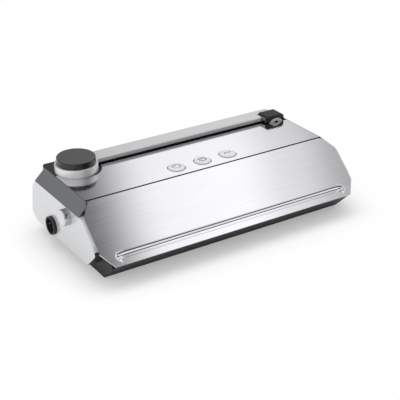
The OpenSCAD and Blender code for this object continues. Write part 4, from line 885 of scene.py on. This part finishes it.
for button in BUTTONS:
    node = button.replace("button", "spring")
    low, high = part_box(node)
    rise = (high.z - low.z) / 2 - WIRE_R * MM
    for number, body in enumerate((BODY_OF[node], BODY_OF[button])):
        name = node + ("_lower", "_upper")[number]
        source = bpy.data.objects.new(name, bpy.data.meshes.new(name))
        bpy.context.scene.collection.objects.link(source)
        use_tree(source, winding, {"Coil radius": COIL_R * MM, "Wire radius": WIRE_R * MM,
                                   "Height": rise, "Turns": HALF_TURNS})
        half = baked(source, name)
        half.data.transform(Matrix.Translation((
            (low.x + high.x) / 2, (low.y + high.y) / 2, low.z + WIRE_R * MM + number * rise))
            @ Matrix.Rotation(2 * math.pi * HALF_TURNS * number, 4, "Z"))
        finish_piece(half, zinc_steel, node, body=body)
        if number == 0:
            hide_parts(node)
    print(node, "wound in two halves of", round(rise / MM, 2), "mm")

# %% [markdown]
# ## Screws
# The lid's frame is held by small socket screws. One screw is modelled and a Geometry Nodes
# tree sets a copy on each point, turned at random as a fitter leaves them.

# %% One screw
HEAD_R, HEAD_H, SHAFT_R, SOCKET = 2.7, 1.6, 1.5, 2.5    # millimetres; the socket across its flats
SCREW_SIDES = 36


def hex_radius(angle):
    """Distance from the middle of the socket to its side, at an angle."""
    return SOCKET / 2 / math.cos((angle % (math.pi / 3)) - math.pi / 6)


def socket_screw(name, length):
    """A screw with its head's seat at the origin, its shaft along +Z and its head below."""
    build = bmesh.new()
    turns = [2 * math.pi * k / SCREW_SIDES for k in range(SCREW_SIDES)]
    shape = [(lambda a: SHAFT_R, length), (lambda a: SHAFT_R, 0), (lambda a: HEAD_R, 0),
             (lambda a: HEAD_R, -HEAD_H * 0.7), (lambda a: HEAD_R * 0.86, -HEAD_H),
             (hex_radius, -HEAD_H), (lambda a: hex_radius(a) * 0.97, -HEAD_H * 0.35)]
    rings = [[build.verts.new((r(a) * math.cos(a) * MM, r(a) * math.sin(a) * MM, z * MM))
              for a in turns] for r, z in shape]
    for upper, lower in zip(rings, rings[1:]):
        for k in range(SCREW_SIDES):
            after = (k + 1) % SCREW_SIDES
            build.faces.new((upper[k], upper[after], lower[after], lower[k]))
    build.faces.new(rings[0])
    build.faces.new(rings[-1])
    bmesh.ops.recalc_face_normals(build, faces=build.faces)
    screw = mesh_piece(name, build)
    screw.data.set_sharp_from_angle(angle=math.radians(30))
    return screw


print("socket", round(hex_radius(0) * 2, 2), "mm across its corners")

# %% Set the lid's screws with Geometry Nodes
SEED = 4                                # of the screws' random turns


def loose_parts(mesh):
    """The corners of each loose part of a mesh, merged first, as one list for each part."""
    build = bmesh.new()
    build.from_mesh(mesh)
    bmesh.ops.remove_doubles(build, verts=build.verts, dist=MERGED)
    left, found = dict.fromkeys(build.verts), []    # a dict keeps its order, a set doesn't
    while left:
        stack, corners = [left.popitem()[0]], []
        while stack:
            vert = stack.pop()
            corners.append(vert.co.copy())
            for edge in vert.link_edges:
                other = edge.other_vert(vert)
                if other in left:
                    del left[other]
                    stack.append(other)
        found.append(corners)
    build.free()
    return found


seats = []
for corners in loose_parts(NODES["lid_screws"].data):
    depth = [p.dot(OUT) for p in corners]
    middle = sum(corners, Vector()) / len(corners)
    seats.append(middle + OUT * (min(depth) + HEAD_H * MM - middle.dot(OUT)))
    length = (max(depth) - min(depth)) / MM - HEAD_H
point_mesh = bpy.data.meshes.new("lid_screw_points")
point_mesh.from_pydata(seats, [], [])
screw_points = bpy.data.objects.new("lid_screw_points", point_mesh)
bpy.context.scene.collection.objects.link(screw_points)
lid_screw = socket_screw("lid_screw_shape", length)

setting, given = modifier_tree("set_screws", ["Slope", "Turn"])
info = add(setting, "GeometryNodeObjectInfo", inputs={"Object": lid_screw})
spin = add(setting, "FunctionNodeRandomValue", {"data_type": "FLOAT"}, {
    2: 0.0, 3: given["Turn"], "Seed": SEED}).outputs[1]
own_turn = add(setting, "ShaderNodeCombineXYZ", inputs={"Z": spin})
tilt = add(setting, "ShaderNodeCombineXYZ", inputs={"X": given["Slope"]})
turned = add(setting, "FunctionNodeRotateEuler", inputs={0: own_turn, 1: tilt})
copies = add(setting, "GeometryNodeInstanceOnPoints", inputs={
    "Points": given["Geometry"], "Instance": info.outputs["Geometry"], "Rotation": turned})
real = add(setting, "GeometryNodeRealizeInstances", inputs={0: copies})
zinc = add(setting, "GeometryNodeSetMaterial", inputs={"Geometry": real, "Material": zinc_steel})
add(setting, "NodeGroupOutput", inputs={0: zinc})
use_tree(screw_points, setting, {"Slope": SLOPE, "Turn": 2 * math.pi})
screws = baked(screw_points, "lid_screws_set")
bpy.data.objects.remove(lid_screw)
finish_piece(screws, zinc_steel, "lid_screws")
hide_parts("lid_screws")
print(len(seats), "lid screws,", len(screws.data.polygons), "faces")
